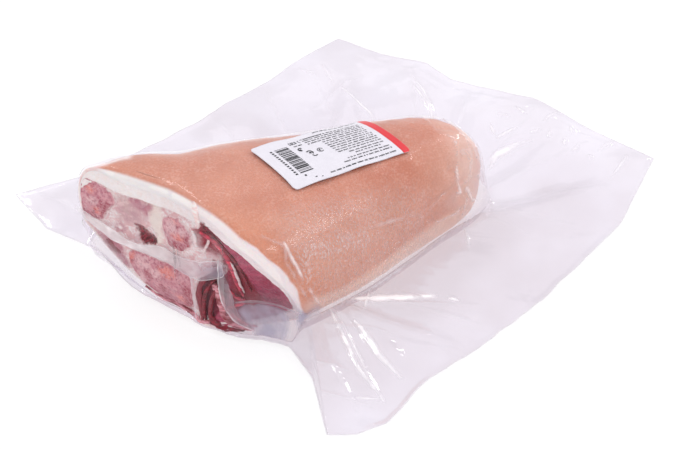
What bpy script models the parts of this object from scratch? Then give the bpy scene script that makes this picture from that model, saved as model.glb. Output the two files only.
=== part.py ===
"""Vacuum pack of a pork shank, lying on its flat side.

The pack is one sealed pouch: clear film drawn tight over a shank with a sawn end, with the spare film of the
four corners standing out round it as a thin, creased skirt. A paper label is stuck on over the ridge.
Metres, +Z up. The origin is on the table under the middle of the pouch's outline, the shank runs along X, and
its sawn end faces -X.
"""
import math

import bpy
import numpy as np

# Driving sizes of the pouch
SHANK_DATUM = (-0.0235, -0.0235)  # the point of the shank that the stations below are measured from
POUCH_OUTLINE = (  # rim of the spare film, anticlockwise from the tip by the sawn end: x, y, height
    (-0.152, 0.128, 0.020), (-0.146, 0.096, 0.014), (-0.129, 0.057, 0.017), (-0.1215, 0.033, 0.006),
    (-0.105, -0.010, 0.003), (-0.094, -0.029, 0.003), (-0.067, -0.053, 0.003), (-0.069, -0.084, 0.004),
    (-0.084, -0.125, 0.007), (-0.070, -0.131, 0.006), (-0.052, -0.130, 0.005), (-0.015, -0.113, 0.005),
    (0.019, -0.108, 0.005), (0.079, -0.090, 0.007), (0.149, -0.063, 0.010), (0.199, -0.031, 0.020),
    (0.180, 0.015, 0.026), (0.168, 0.054, 0.028), (0.150, 0.077, 0.030), (0.134, 0.098, 0.029),
    (0.130, 0.120, 0.031), (0.0955, 0.178, 0.030), (0.053, 0.167, 0.029), (0.024, 0.158, 0.026),
    (-0.031, 0.138, 0.027), (-0.093, 0.121, 0.026),
)
SKIRT_THICKNESS = 0.0012  # two sheets of film with the air and meat juice between them
EDGE_RIPPLE = 0.0010      # how far the free edge waves in and out
BASE_SHARE = 0.96         # share of the shank's lowest ring that is pressed flat on the table

# Where the film leaves the shank, by bearing from the shank's heart: bearing in degrees, height, bridged gap
FILM_FOOT = (
    (-12.0, 0.012, 0.016), (20.0, 0.014, 0.012), (54.0, 0.022, 0.014), (95.0, 0.022, 0.010),
    (125.0, 0.022, 0.012), (138.0, 0.026, 0.026), (152.0, 0.017, 0.006), (175.0, 0.005, 0.003),
    (215.0, 0.003, 0.002), (236.0, 0.003, 0.006), (250.0, 0.003, 0.010), (270.0, 0.003, 0.006),
    (320.0, 0.004, 0.006),
)
# Creases of the spare film: start x, y, end x, y, height, half width
SKIRT_FOLDS = (
    (-0.044, -0.040, 0.012, -0.104, 0.0045, 0.0050), (-0.030, -0.045, -0.022, -0.108, 0.0035, 0.0060),
    (0.060, -0.015, 0.172, -0.042, 0.0035, 0.0090), (0.088, 0.000, 0.178, 0.012, 0.0040, 0.0090),
    (0.084, 0.030, 0.140, 0.080, 0.0045, 0.0080), (0.040, 0.062, 0.092, 0.165, 0.0045, 0.0080),
    (-0.020, 0.070, 0.010, 0.150, 0.0030, 0.0080), (-0.090, 0.075, -0.130, 0.120, 0.0040, 0.0080),
)

# Driving sizes of the shank: x, front, back, ridge y, ridge height, height of the widest point
STATIONS = np.array((
    (-0.135, -0.052, 0.0645, 0.021, 0.0800, 0.038),
    (-0.100, -0.052, 0.0665, 0.019, 0.0810, 0.036),
    (-0.060, -0.051, 0.066, 0.015, 0.0790, 0.032),
    (-0.020, -0.045, 0.060, 0.010, 0.0755, 0.030),
    (0.020, -0.033, 0.054, 0.008, 0.0710, 0.029),
    (0.055, -0.021, 0.049, 0.012, 0.0660, 0.028),
    (0.090, -0.012, 0.044, 0.015, 0.0610, 0.027),
))
UPPER_POWER = 2.6         # roundness of the section above its widest point: 2 is an ellipse
CORNER_POWER = 2.6        # added to it above the back of the sawn end, where the section is nearly square
CORNER_FROM_X = -0.125    # the added power is full here and gone CORNER_RUN further along
CORNER_RUN = 0.050
LOWER_FRONT_POWER = 3.4
LOWER_BACK_POWER = 1.9
HOCK_START = 0.050        # the narrow end rounds off between these two
HOCK_END = 0.0965
HOCK_POWER = 2.8
HEART = (-0.025, 0.012, 0.034)

# Driving sizes of the sawn end
SAW_X = -0.1045           # where the saw plane crosses the line y = SAW_Y
SAW_Y = 0.0135
SAW_SLOPE_FRONT = 0.42    # run of the plane along X for each metre of Y, on either side of that line
SAW_SLOPE_BACK = 0.60
MUSCLE_RECESS = 0.027     # how far the lean meat has drawn back at the front of the sawn end
RECESS_FROM_Y = -0.008
RECESS_WIDTH = 0.032
RECESS_TOP = 0.064
RECESS_DEPTH = 0.056
FOOT_FOLD = 0.015         # loose strips of meat pressed out at the foot of the sawn end
FOOT_FOLD_Y = -0.024
FOOT_FOLD_REACH = (0.015, 0.014)
RIM_ROUNDING = 0.0085     # how softly the skin turns over the top of the sawn rim
RIM_SHARP = 0.0030        # and over the rim's upright back edge and its foot
RIM_TOP_BACK = (0.056, 0.016)  # the soft top ends at this y, over this run
RIM_TOP_FOOT = (0.036, 0.018)  # and starts at this height, over this run
SAW_LUMPS = (  # bone heads and hollows of the sawn end: y, height, half width, half height, how far out
    (0.054, 0.056, 0.013, 0.014, 0.0030), (0.006, 0.054, 0.011, 0.012, 0.0030),
    (0.014, 0.019, 0.022, 0.011, 0.0040), (0.028, 0.042, 0.008, 0.006, -0.0025),
    (-0.014, 0.036, 0.005, 0.022, -0.0040), (-0.034, 0.034, 0.010, 0.018, 0.0025),
)

# Label
LABEL_LENGTH = 0.0795
LABEL_WIDTH = 0.0435
LABEL_CENTRE = (-0.0062, 0.0078)
LABEL_TURN = math.radians(7.5)
LABEL_THICKNESS = 0.0004
LABEL_GAP = 0.0005

# How the shape's parts are weighed against each other
SECTION_RADIUS = 0.030    # turns a section's ratio into a rough distance from the skin
LEAST_CLOSING = 0.3       # least share of that radius, at the tip of the narrow end
SAW_SQUARENESS = 0.88     # turns a run along X into a distance from the slanted saw plane
SHOULDER_SMOOTHING = (1, 2, 3, 2, 1)
CROWN_CROWDING = 0.85     # below 1, the rings draw together towards the shoulder
CREASE_START = 0.08       # creases begin at this share of their sine wave, a little above nothing

# Underside of the spare film
SKIRT_CLEARANCE = 0.0006  # least gap between the skirt's lower face and the table
UNDER_STEP = 0.0006       # the lower face meets the shank this much further in than the upper one
BASE_INSET = 0.004        # the flat base stays this far inside the film's foot
BASE_LEVEL = 0.004        # height at which the lowest ring is read
FADE_SHARE = 0.7          # share of a crease's height that is gone at the free edge
LEAST_SKIRT = 0.003       # the film's foot stays this far inside the free edge
LEAST_RUN = 0.0005        # rays closer to the foot than this don't count as a slope

# How finely the faces are cut
BEARINGS = 108
CLOSER_BEARINGS = ((153.0, 8.0, 3.0), (236.0, 12.0, 1.5))  # edges of the sawn end: degrees, spread, extra
RINGS_OVER_SHANK = 9
RINGS_DOWN_SIDE = 10
RINGS_OF_SKIRT = 6
PROFILE_SAMPLES = 180
CAST_REACH = 0.26         # rays from the heart end here, well outside the shank
CEILING_REACH = 0.08      # and upright ones here
BISECTIONS = 34


def through_table(xs, ys, x):
    """Smooth curve through the points of a table, without overshoot (harmonic slopes, cubic spans)."""
    span = np.diff(xs)
    rise = np.diff(ys) / span
    slope = np.zeros_like(ys)
    same_way = rise[1:] * rise[:-1] > 0.0
    slope[1:-1][same_way] = (2.0 * rise[1:] * rise[:-1])[same_way] / (rise[1:] + rise[:-1])[same_way]
    slope[0], slope[-1] = rise[0], rise[-1]
    x = np.clip(x, xs[0], xs[-1])
    i = np.clip(np.searchsorted(xs, x) - 1, 0, len(xs) - 2)
    t = (x - xs[i]) / span[i]
    return (ys[i] * (1 + 2 * t) * (1 - t) ** 2 + slope[i] * span[i] * t * (1 - t) ** 2
            + ys[i + 1] * t * t * (3 - 2 * t) + slope[i + 1] * span[i] * t * t * (t - 1))


def smooth_step(t):
    """0 below 0, 1 above 1, and a smooth S between."""
    t = np.clip(t, 0.0, 1.0)
    return t * t * (3.0 - 2.0 * t)


def saw_plane(y, z):
    """X of the sawn end: a bent upright plane, with lean meat drawn back and strips pressed out low down."""
    off = SAW_Y - y
    plane = SAW_X + np.where(off > 0.0, SAW_SLOPE_FRONT, SAW_SLOPE_BACK) * off
    recess = MUSCLE_RECESS * smooth_step((RECESS_FROM_Y - y) / RECESS_WIDTH)
    recess = recess * np.clip((RECESS_TOP - z) / RECESS_DEPTH, 0.0, 1.1)
    along, up = FOOT_FOLD_REACH
    out = FOOT_FOLD * np.exp(-((y - FOOT_FOLD_Y) / along) ** 2 - (z / up) ** 2)
    for lump_y, lump_z, half_width, half_height, height in SAW_LUMPS:
        out = out + height * np.exp(-((y - lump_y) / half_width) ** 2 - ((z - lump_z) / half_height) ** 2)
    return plane + recess - out


def rim_rounding(y, z):
    """Radius-like size of the sawn rim: soft along its top, sharp at its back edge and its foot."""
    (back, back_run), (foot, foot_run) = RIM_TOP_BACK, RIM_TOP_FOOT
    top = smooth_step((back - y) / back_run) * smooth_step((z - foot) / foot_run)
    return RIM_SHARP + (RIM_ROUNDING - RIM_SHARP) * top


def shank_depth(x, y, z):
    """Below 0 inside the shank: superellipse sections through the stations, cut by the saw plane."""
    front, back, ridge, top, wide = (through_table(STATIONS[:, 0], STATIONS[:, k], x) for k in range(1, 6))
    along = np.clip((x - HOCK_START) / (HOCK_END - HOCK_START), 0.0, 0.99999)
    closing = (1.0 - along ** HOCK_POWER) ** (1.0 / HOCK_POWER)
    half_width = np.where(y > ridge, back - ridge, ridge - front) * closing
    half_height = np.where(z > wide, top - wide, wide) * closing
    corner = CORNER_POWER * (1.0 - smooth_step((x - CORNER_FROM_X) / CORNER_RUN))
    upper = UPPER_POWER + np.where(y > ridge, corner, 0.0)
    lower = np.where(y > ridge, LOWER_BACK_POWER, LOWER_FRONT_POWER)
    power = np.where(z > wide, upper, lower)
    across, up = np.abs((y - ridge) / half_width), np.abs((z - wide) / half_height)
    ratio = (across ** power + up ** power) ** (1 / power)
    side = (ratio - 1.0) * SECTION_RADIUS * np.maximum(closing, LEAST_CLOSING) + np.maximum(x - HOCK_END, 0.0)
    end = (saw_plane(y, z) - x) * SAW_SQUARENESS
    rounding = rim_rounding(y, z)
    near = np.maximum(rounding - np.abs(side - end), 0.0) / rounding
    return np.maximum(side, end) + near * near * rounding / 4.0


def crossing(inside, low, high):
    """Distance at which a whole array of rays leaves the shank, halving each ray's bracket."""
    for _ in range(BISECTIONS):
        middle = (low + high) / 2.0
        within = inside(middle)
        low = np.where(within, middle, low)
        high = np.where(within, high, middle)
    return (low + high) / 2.0


def shank_profile(bearing, elevation):
    """Radius and height of the shank's skin, seen from its heart along each bearing and elevation."""
    away, up = np.cos(elevation), np.sin(elevation)
    east, north = np.cos(bearing) * away, np.sin(bearing) * away
    start = np.zeros(np.broadcast(bearing, elevation).shape)
    reach = crossing(
        lambda d: shank_depth(HEART[0] + d * east, HEART[1] + d * north, HEART[2] + d * up) < 0.0,
        start, start + CAST_REACH)
    return reach * away, HEART[2] + reach * up


def top_height(x, y):
    """Height of the shank's skin over points of its plan."""
    start = np.full(np.broadcast(x, y).shape, HEART[2])
    return crossing(lambda z: shank_depth(x, y, z) < 0.0, start, start + CEILING_REACH)


def skirt_lift(x, y):
    """Height that the creases add to the spare film: a rounded ridge along each fold's line."""
    lift = np.zeros(np.broadcast(x, y).shape)
    for x0, y0, x1, y1, height, half_width in SKIRT_FOLDS:
        dx, dy = x1 - x0, y1 - y0
        t = np.clip(((x - x0) * dx + (y - y0) * dy) / (dx * dx + dy * dy), 0.0, 1.0)
        off = np.hypot(x - x0 - t * dx, y - y0 - t * dy)
        lift += height * np.exp(-(off / half_width) ** 2) * np.sin(math.pi * np.clip(t, CREASE_START, 1.0))
    return lift


def outline_by_bearing():
    """Bearings of the pouch's columns, with the corners kept, and the free edge's radius and height there."""
    corners = np.array(POUCH_OUTLINE)
    ends = np.roll(corners, -1, axis=0)
    t = np.linspace(0.0, 1.0, 40, endpoint=False)[None, :, None]
    edge = (corners[:, None] * (1 - t) + ends[:, None] * t).reshape(-1, 3)

    def bearing_of(points):
        return np.arctan2(points[:, 1] - HEART[1], points[:, 0] - HEART[0]) % (2 * math.pi)

    trial = np.linspace(0.0, 2 * math.pi, 1441)
    density = np.ones(len(trial))
    for middle, spread, extra in CLOSER_BEARINGS:
        density += extra * np.exp(-((np.degrees(trial) - middle) / spread) ** 2)
    columns = np.cumsum(density) - density[0]
    bearings = np.interp(np.arange(BEARINGS) / BEARINGS * columns[-1], columns, trial)
    for angle in bearing_of(corners):
        gap = (bearings - angle + math.pi) % (2 * math.pi) - math.pi
        bearings[np.argmin(np.abs(gap))] = angle
    bearings = np.sort(bearings)
    angle = bearing_of(edge)
    order = np.argsort(angle)
    radius = np.hypot(edge[:, 0] - HEART[0], edge[:, 1] - HEART[1])
    edge_radius = np.interp(bearings, angle[order], radius[order], period=2 * math.pi)
    edge_height = np.interp(bearings, angle[order], edge[order, 2], period=2 * math.pi)
    ripple = EDGE_RIPPLE * (np.sin(23 * bearings) + np.sin(31 * bearings + 1.0)) / 2.0
    inward = np.minimum(ripple, 0.0)
    return bearings, edge_radius + inward, edge_height


def film_foot(bearings, edge_radius, widest):
    """Radius and height at which the film leaves the shank for the skirt."""
    table = np.array(FILM_FOOT)
    angle = np.radians(table[:, 0])
    height = np.interp(bearings, angle, table[:, 1], period=2 * math.pi)
    gap = np.interp(bearings, angle, table[:, 2], period=2 * math.pi)
    return np.minimum(widest + gap, edge_radius - LEAST_SKIRT), height


def taut_profile(bearings, foot_radius, foot_height):
    """Film's radius and height down each bearing: on the skin, then straight from it to the film's foot."""
    elevation = np.linspace(math.pi / 2, math.radians(-35.0), PROFILE_SAMPLES)
    radius, height = shank_profile(bearings[:, None], elevation[None, :])
    run = foot_radius[:, None] - radius
    slope = np.where(run > LEAST_RUN, (height - foot_height[:, None]) / np.maximum(run, LEAST_RUN), -1e9)
    touch = np.argmax(slope, axis=1)
    rows = np.arange(len(bearings))
    k = np.arange(PROFILE_SAMPLES)[None, :]
    t = np.clip((k - touch[:, None]) / (PROFILE_SAMPLES - 1 - touch[:, None]), 0.0, 1.0)
    free = k > touch[:, None]
    radius = np.where(free, radius[rows, touch][:, None] * (1 - t) + foot_radius[:, None] * t, radius)
    height = np.where(free, height[rows, touch][:, None] * (1 - t) + foot_height[:, None] * t, height)
    return radius, height


def even_rings(radius, height):
    """Rings of each profile, spaced out from the crown to the shoulder and from the shoulder to the foot."""
    steps = np.hypot(np.diff(radius, axis=1), np.diff(height, axis=1))
    lengths = np.concatenate((np.zeros((len(radius), 1)), np.cumsum(steps, axis=1)), axis=1)
    outward = radius / radius.max(axis=1, keepdims=True) + height / height.max(axis=1, keepdims=True)
    shoulders = lengths[np.arange(len(radius)), np.argmax(outward, axis=1)]
    reach = len(SHOULDER_SMOOTHING) // 2
    around = np.concatenate((shoulders[-reach:], shoulders, shoulders[:reach]))
    shoulders = np.convolve(around, np.array(SHOULDER_SMOOTHING) / sum(SHOULDER_SMOOTHING), "valid")
    rings = []
    for r, z, along, shoulder in zip(radius, height, lengths, shoulders):
        over = shoulder * np.linspace(0.0, 1.0, RINGS_OVER_SHANK + 1)[1:] ** CROWN_CROWDING
        down = shoulder + (along[-1] - shoulder) * np.linspace(0.0, 1.0, RINGS_DOWN_SIDE + 1)[1:]
        stops = np.concatenate((over, down))
        rings.append((np.interp(stops, along, r), np.interp(stops, along, z)))
    rings = np.array(rings)
    return rings[:, 0].T, rings[:, 1].T


def pouch_rings():
    """The pouch as closed rings of points: from the crown over side and skirt, and back to the flat base."""
    bearings, edge_radius, edge_height = outline_by_bearing()
    side_radius, side_height = shank_profile(bearings[:, None], np.radians(np.linspace(25, -34, 60))[None, :])
    foot_radius, foot_height = film_foot(bearings, edge_radius, side_radius.max(axis=1))
    radius, height = even_rings(*taut_profile(bearings, foot_radius, foot_height))
    east, north = np.cos(bearings), np.sin(bearings)

    def ring(r, z):
        return np.stack((HEART[0] + r * east, HEART[1] + r * north, z + 0.0 * r), axis=1)

    rings = [ring(r, z) for r, z in zip(radius, height)]
    skirt = []
    for step in range(1, RINGS_OF_SKIRT + 1):
        v = step / RINGS_OF_SKIRT
        row = ring(foot_radius * (1 - v) + edge_radius * v,
                   foot_height * (1 - smooth_step(v)) + edge_height * smooth_step(v))
        row[:, 2] += skirt_lift(row[:, 0], row[:, 1]) * (1.0 - FADE_SHARE * v ** 4)
        row[:, 2] = np.maximum(row[:, 2], SKIRT_THICKNESS + SKIRT_CLEARANCE)
        skirt.append(row)
    rings += skirt
    under = [row - (0.0, 0.0, SKIRT_THICKNESS) for row in reversed(skirt)]
    lowest = np.argmin(np.abs(side_height - BASE_LEVEL), axis=1)
    lowest_radius = side_radius[np.arange(len(bearings)), lowest]
    base_radius = BASE_SHARE * np.minimum(lowest_radius, foot_radius - BASE_INSET)
    under.append(ring(foot_radius - UNDER_STEP, foot_height - SKIRT_THICKNESS))
    under.append(ring((foot_radius * 2 + base_radius) / 3, foot_height * 0.25))
    under.append(ring(base_radius, np.zeros(len(bearings))))
    return rings + under


def pack_material(name, colour, roughness):
    """Plain surface of one colour."""
    material = bpy.data.materials.new(name)
    material.use_nodes = True
    surface = material.node_tree.nodes["Principled BSDF"]
    surface.inputs["Base Color"].default_value = (*colour, 1.0)
    surface.inputs["Roughness"].default_value = roughness
    surface.inputs["Metallic"].default_value = 0.0
    return material


def placed(name, points, faces, material, collection):
    """Object whose mesh has these points, measured from the shank's datum."""
    mesh = bpy.data.meshes.new(name)
    mesh.from_pydata((np.asarray(points) + (*SHANK_DATUM, 0.0)).tolist(), [], faces)
    mesh.validate()
    mesh.shade_smooth()
    mesh.set_sharp_from_angle(angle=math.radians(40.0))
    mesh.materials.append(material)
    thing = bpy.data.objects.new(name, mesh)
    collection.objects.link(thing)
    return thing


def make_pouch(collection):
    """Loft the rings into one closed body, with a point at the crown and one flat face as its base."""
    rings = pouch_rings()
    count = len(rings[0])
    crown = (HEART[0], HEART[1], float(top_height(np.array(HEART[0]), np.array(HEART[1]))))
    points = np.concatenate([np.array([crown])] + rings)
    faces = []
    for k in range(count):
        faces.append((0, 1 + k, 1 + (k + 1) % count))
    for row in range(len(rings) - 1):
        first = 1 + row * count
        for k in range(count):
            after = (k + 1) % count
            faces.append((first + k, first + count + k, first + count + after, first + after))
    last = 1 + (len(rings) - 1) * count
    faces.append(tuple(last + k for k in reversed(range(count))))
    film = pack_material("clear_film_over_pork", (0.76, 0.50, 0.42), 0.25)
    return placed("pouch", points, faces, film, collection)


def label_grid(columns=19, rows=11):
    """The label's sheet laid over the ridge: even steps along it, and true lengths across the curve."""
    along = np.linspace(-0.5, 0.5, columns) * LABEL_LENGTH
    across = np.linspace(-0.5, 0.5, rows) * LABEL_WIDTH
    trial = np.linspace(-0.6, 0.6, 241) * LABEL_WIDTH
    cos_turn, sin_turn = math.cos(LABEL_TURN), math.sin(LABEL_TURN)
    grid = []
    for u in along:
        x = LABEL_CENTRE[0] + u * cos_turn - trial * sin_turn
        y = LABEL_CENTRE[1] + u * sin_turn + trial * cos_turn
        z = top_height(x, y)
        steps = np.sqrt(np.diff(x) ** 2 + np.diff(y) ** 2 + np.diff(z) ** 2)
        length = np.concatenate(((0.0,), np.cumsum(steps)))
        length -= np.interp(0.0, trial, length)
        grid.append(np.stack([np.interp(across, length, values) for values in (x, y, z + LABEL_GAP)], axis=1))
    return np.array(grid)


def make_label(collection):
    """Paper label: the curved sheet with a thickness added on its upper side."""
    grid = label_grid()
    columns, rows = grid.shape[:2]
    faces = []
    for i in range(columns - 1):
        for j in range(rows - 1):
            corner = i * rows + j
            faces.append((corner, corner + rows, corner + rows + 1, corner + 1))
    paper = pack_material("label_paper", (0.90, 0.90, 0.91), 0.45)
    label = placed("label", grid.reshape(-1, 3), faces, paper, collection)
    wall = label.modifiers.new("paper thickness", "SOLIDIFY")
    wall.thickness = LABEL_THICKNESS
    wall.offset = 1.0
    return label


def main():
    for thing in list(bpy.data.objects):
        bpy.data.objects.remove(thing)
    collection = bpy.data.collections.new("vacuum_pack_of_pork_shank")
    bpy.context.scene.collection.children.link(collection)
    make_pouch(collection)
    make_label(collection)


main()
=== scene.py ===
"""Looks of the vacuum pack of pork shank: rind, sawn end, clear film with its creases, and the paper label.

Lengths are millimetres measured from the shank's datum, until laid() turns them into metres in the pack's
frame.
"""
import math

import bpy
import numpy as np
from bpy.props import FloatProperty, FloatVectorProperty, PointerProperty
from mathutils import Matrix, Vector

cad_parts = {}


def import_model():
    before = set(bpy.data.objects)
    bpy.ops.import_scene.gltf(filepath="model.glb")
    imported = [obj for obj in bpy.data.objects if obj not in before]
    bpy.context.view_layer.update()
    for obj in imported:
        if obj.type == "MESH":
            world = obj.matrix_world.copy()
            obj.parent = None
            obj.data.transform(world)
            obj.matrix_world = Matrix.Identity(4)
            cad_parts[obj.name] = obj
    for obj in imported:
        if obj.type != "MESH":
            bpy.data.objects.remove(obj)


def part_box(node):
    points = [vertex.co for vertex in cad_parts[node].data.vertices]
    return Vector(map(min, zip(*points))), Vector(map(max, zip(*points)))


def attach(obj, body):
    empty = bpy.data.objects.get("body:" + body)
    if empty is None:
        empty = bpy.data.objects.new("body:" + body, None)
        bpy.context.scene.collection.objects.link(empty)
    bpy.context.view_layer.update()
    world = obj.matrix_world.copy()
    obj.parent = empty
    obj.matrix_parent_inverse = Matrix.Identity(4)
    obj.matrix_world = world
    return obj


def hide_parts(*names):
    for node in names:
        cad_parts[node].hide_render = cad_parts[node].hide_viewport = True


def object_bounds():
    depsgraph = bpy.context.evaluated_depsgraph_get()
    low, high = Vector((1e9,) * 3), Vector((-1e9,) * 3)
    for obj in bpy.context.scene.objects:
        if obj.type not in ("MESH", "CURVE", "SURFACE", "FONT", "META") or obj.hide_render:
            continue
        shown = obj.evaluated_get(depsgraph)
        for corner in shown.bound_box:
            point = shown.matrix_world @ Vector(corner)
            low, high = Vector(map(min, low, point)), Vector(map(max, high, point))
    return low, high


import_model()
CAD_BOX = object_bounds()

bl_info = {
    "name": "Vacuum pack of pork shank",
    "version": (1, 0, 0),
    "blender": (4, 5, 0),
    "location": "View3D > Sidebar > Shank pack",
    "description": "Builds the meat, the creased clear pouch and the label around the packed model",
    "category": "Object",
}

MM = 0.001
TURN = 2.0 * math.pi
POUCH = np.array(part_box("pouch")) / MM
SHANK_DATUM = np.array((-23.5, -23.5, 0.0))

# Pouch: rim of the spare film, anticlockwise from the tip by the sawn end: x, y, height
POUCH_OUTLINE = (
    (-152, 128, 20), (-146, 96, 14), (-129, 57, 17), (-121.5, 33, 6), (-105, -10, 3), (-94, -29, 3),
    (-67, -53, 3), (-69, -84, 4), (-84, -125, 7), (-70, -131, 6), (-52, -130, 5), (-15, -113, 5),
    (19, -108, 5), (79, -90, 7), (149, -63, 10), (199, -31, 20), (180, 15, 26), (168, 54, 28),
    (150, 77, 30), (134, 98, 29), (130, 120, 31), (95.5, 178, 30), (53, 167, 29), (24, 158, 26),
    (-31, 138, 27), (-93, 121, 26),
)
# Where the film leaves the shank: bearing in degrees from its heart, height, bridged gap
FILM_FOOT = (
    (-12, 9, 5), (20, 13, 6), (54, 20, 9), (95, 22, 9), (125, 22, 11), (138, 26, 26), (152, 17, 6),
    (175, 4, 1.5), (205, 3, 1), (236, 3, 3.5), (250, 4, 4), (270, 6, 3), (320, 6, 3),
)
# Creases of the spare film: start x, y, end x, y, height, half width
SKIRT_FOLDS = (
    (-44, -40, 12, -104, 4.5, 5), (-30, -45, -22, -108, 3.5, 6), (60, -15, 172, -42, 3.5, 9),
    (88, 0, 178, 12, 4, 9), (84, 30, 140, 80, 4.5, 8), (40, 62, 92, 165, 4.5, 8), (-20, 70, 10, 150, 3, 8),
    (-90, 75, -130, 120, 4, 8),
)

# Shank: x, front, back, ridge y, ridge height, height of the widest point
STATIONS = np.array((
    (-135, -52, 64.5, 21, 80, 38),
    (-100, -52, 66.5, 19, 81, 36),
    (-60, -51, 66, 15, 79, 32),
    (-20, -45, 60, 10, 75.5, 30),
    (20, -33, 54, 8, 71, 29),
    (55, -21, 49, 12, 66, 28),
    (90, -12, 44, 15, 61, 27),
))
UPPER_POWER = 2.6
CORNER_POWER = 2.6        # added to it above the back of the sawn end, where the section is nearly square
CORNER_FROM_X = -125.0
CORNER_RUN = 50.0
LOWER_FRONT_POWER = 3.4
LOWER_BACK_POWER = 1.9
BARE_POWER = 1.15         # the meat itself is cut away under the film, low at the back of the sawn end
BARE_FROM_X = -112.0
BARE_RUN = 45.0
HOCK_START = 50.0
HOCK_END = 96.5
HOCK_POWER = 2.8
RIM_ROUNDING = 8.5        # how softly the film turns over the sawn rim, over its top
RIM_SHARP = 3.0           # and elsewhere
HEART = (-25.0, 12.0, 34.0)
FILM_PLAY = 0.9           # the meat stays this far inside the pouch's outer face

# Sawn end
SAW_X = -104.5
SAW_Y = 13.5
SAW_SLOPE_FRONT = 0.42
SAW_SLOPE_BACK = 0.60
MUSCLE_RECESS = 27.0
RECESS_FROM_Y = -8.0
RECESS_WIDTH = 32.0
RECESS_TOP = 64.0
RECESS_DEPTH = 56.0
FOOT_FOLD = 15.0
FOOT_FOLD_Y = -24.0
FOOT_FOLD_REACH = (15.0, 14.0)
SAW_LUMPS = (              # y, z, half width, half height, how far each stands out
    (54, 56, 13, 14, 3), (6, 54, 11, 12, 3), (14, 19, 22, 11, 4), (28, 42, 8, 6, -2.5),
    (-14, 36, 5, 22, -4), (-34, 34, 10, 18, 2.5),
)

# Label
LABEL_LENGTH = 79.5
LABEL_WIDTH = 43.5
LABEL_CENTRE = (-5.2, 9.4)
LABEL_TURN = math.radians(7.5)


# ------------------------------------ shape maths
def through_table(xs, ys, x):
    """Smooth curve through the points of a table, without overshoot (harmonic slopes, cubic spans)."""
    span = np.diff(xs)
    rise = np.diff(ys) / span
    slope = np.zeros_like(ys)
    same_way = rise[1:] * rise[:-1] > 0
    slope[1:-1][same_way] = (2 * rise[1:] * rise[:-1])[same_way] / (rise[1:] + rise[:-1])[same_way]
    slope[0], slope[-1] = rise[0], rise[-1]
    x = np.clip(x, xs[0], xs[-1])
    i = np.clip(np.searchsorted(xs, x) - 1, 0, len(xs) - 2)
    t = (x - xs[i]) / span[i]
    return (ys[i] * (1 + 2 * t) * (1 - t) ** 2 + slope[i] * span[i] * t * (1 - t) ** 2
            + ys[i + 1] * t * t * (3 - 2 * t) + slope[i + 1] * span[i] * t * t * (t - 1))


def smooth(t):
    """0 below 0, 1 above 1, and a smooth S between."""
    t = np.clip(t, 0, 1)
    return t * t * (3 - 2 * t)


def rises(value, start, span):
    """0 up to the start and 1 from a span beyond it on, with a smooth S between."""
    return smooth((value - start) / span)


def falls(value, end, span):
    """1 up to a span before the end and 0 from the end on, with a smooth S between."""
    return smooth((end - value) / span)


def split(grid):
    """The three coordinates of a grid of points."""
    return np.moveaxis(grid, -1, 0)


def running_length(*coordinates):
    """Length along each line of points from its start: the running sum of its steps."""
    steps = np.sqrt(sum(np.diff(values) ** 2 for values in coordinates))
    return np.concatenate((np.zeros((*steps.shape[:-1], 1)), np.cumsum(steps, axis=-1)), axis=-1)


def read_round(bearings, at, values):
    """Values of a table, read straight between its bearings round a full turn."""
    return np.interp(bearings, at, values, period=TURN)


def lattice_noise(points, seed):
    """Value noise from -1 to 1: hashed values at whole-number corners, blended by S curves between them."""
    cell = np.floor(points).astype(np.int64)
    part = points - cell
    part = part * part * (3 - 2 * part)
    total = np.zeros(points.shape[:-1])
    for corner in np.ndindex(2, 2, 2):
        at = (cell + corner).astype(np.uint64)
        mixed = at[..., 0] * np.uint64(73856093) ^ at[..., 1] * np.uint64(19349663)
        mixed = (mixed ^ at[..., 2] * np.uint64(83492791)) + np.uint64(seed * 7919 + 17)
        mixed = (mixed ^ (mixed >> np.uint64(13))) * np.uint64(1274126177)
        mixed = mixed ^ (mixed >> np.uint64(16))
        value = (mixed & np.uint64(65535)).astype(float) / 32767.5 - 1
        weight = np.ones(points.shape[:-1])
        for axis, side in enumerate(corner):
            weight = weight * (part[..., axis] if side else 1 - part[..., axis])
        total += value * weight
    return total


def noise(points, size, octaves, seed):
    """Noise of one feature size with finer octaves of half the size and half the height added."""
    total = np.zeros(points.shape[:-1])
    for octave in range(octaves):
        total += lattice_noise(points / size * 2 ** octave + 11.3 * octave, seed + octave) * 0.5 ** octave
    return total


def crumple(points, size, octaves, seed):
    """Sharp ridges from 0 to about 1: layered noise folded at zero, as a pressed film creases."""
    total = np.zeros(points.shape[:-1])
    for octave in range(octaves):
        layer = lattice_noise(points / size * 2 ** octave + 5.1 * octave, seed + octave)
        total += (1 - np.abs(layer)) ** 3 * 0.55 ** octave
    return total / 1.6


def from_line(x, y, x0, y0, x1, y1):
    """Distance from a straight line between two points, and how far along it each point is, from 0 to 1."""
    dx, dy = x1 - x0, y1 - y0
    t = np.clip(((x - x0) * dx + (y - y0) * dy) / (dx * dx + dy * dy), 0, 1)
    return np.hypot(x - x0 - t * dx, y - y0 - t * dy), t


def inside_shape(x, y, corners):
    """Distance in from the edge of a many-cornered shape: above 0 inside it and below 0 outside."""
    nearest = np.full(np.broadcast(x, y).shape, 1e9)
    within = np.zeros(nearest.shape, bool)
    for (x0, y0), (x1, y1) in zip(corners, corners[1:] + corners[:1]):
        nearest = np.minimum(nearest, from_line(x, y, x0, y0, x1, y1)[0])
        spans = (y0 > y) != (y1 > y)
        within ^= spans & (x < (x1 - x0) * (y - y0) / (y1 - y0 if y1 != y0 else 1e-9) + x0)
    return np.where(within, nearest, -nearest)


def inside_oval(x, y, centre_x, centre_y, half_x, half_y):
    """Like inside_shape, for an oval: its scaled radius taken from 1, times its smaller half width."""
    return (1 - np.hypot((x - centre_x) / half_x, (y - centre_y) / half_y)) * min(half_x, half_y)


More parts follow.
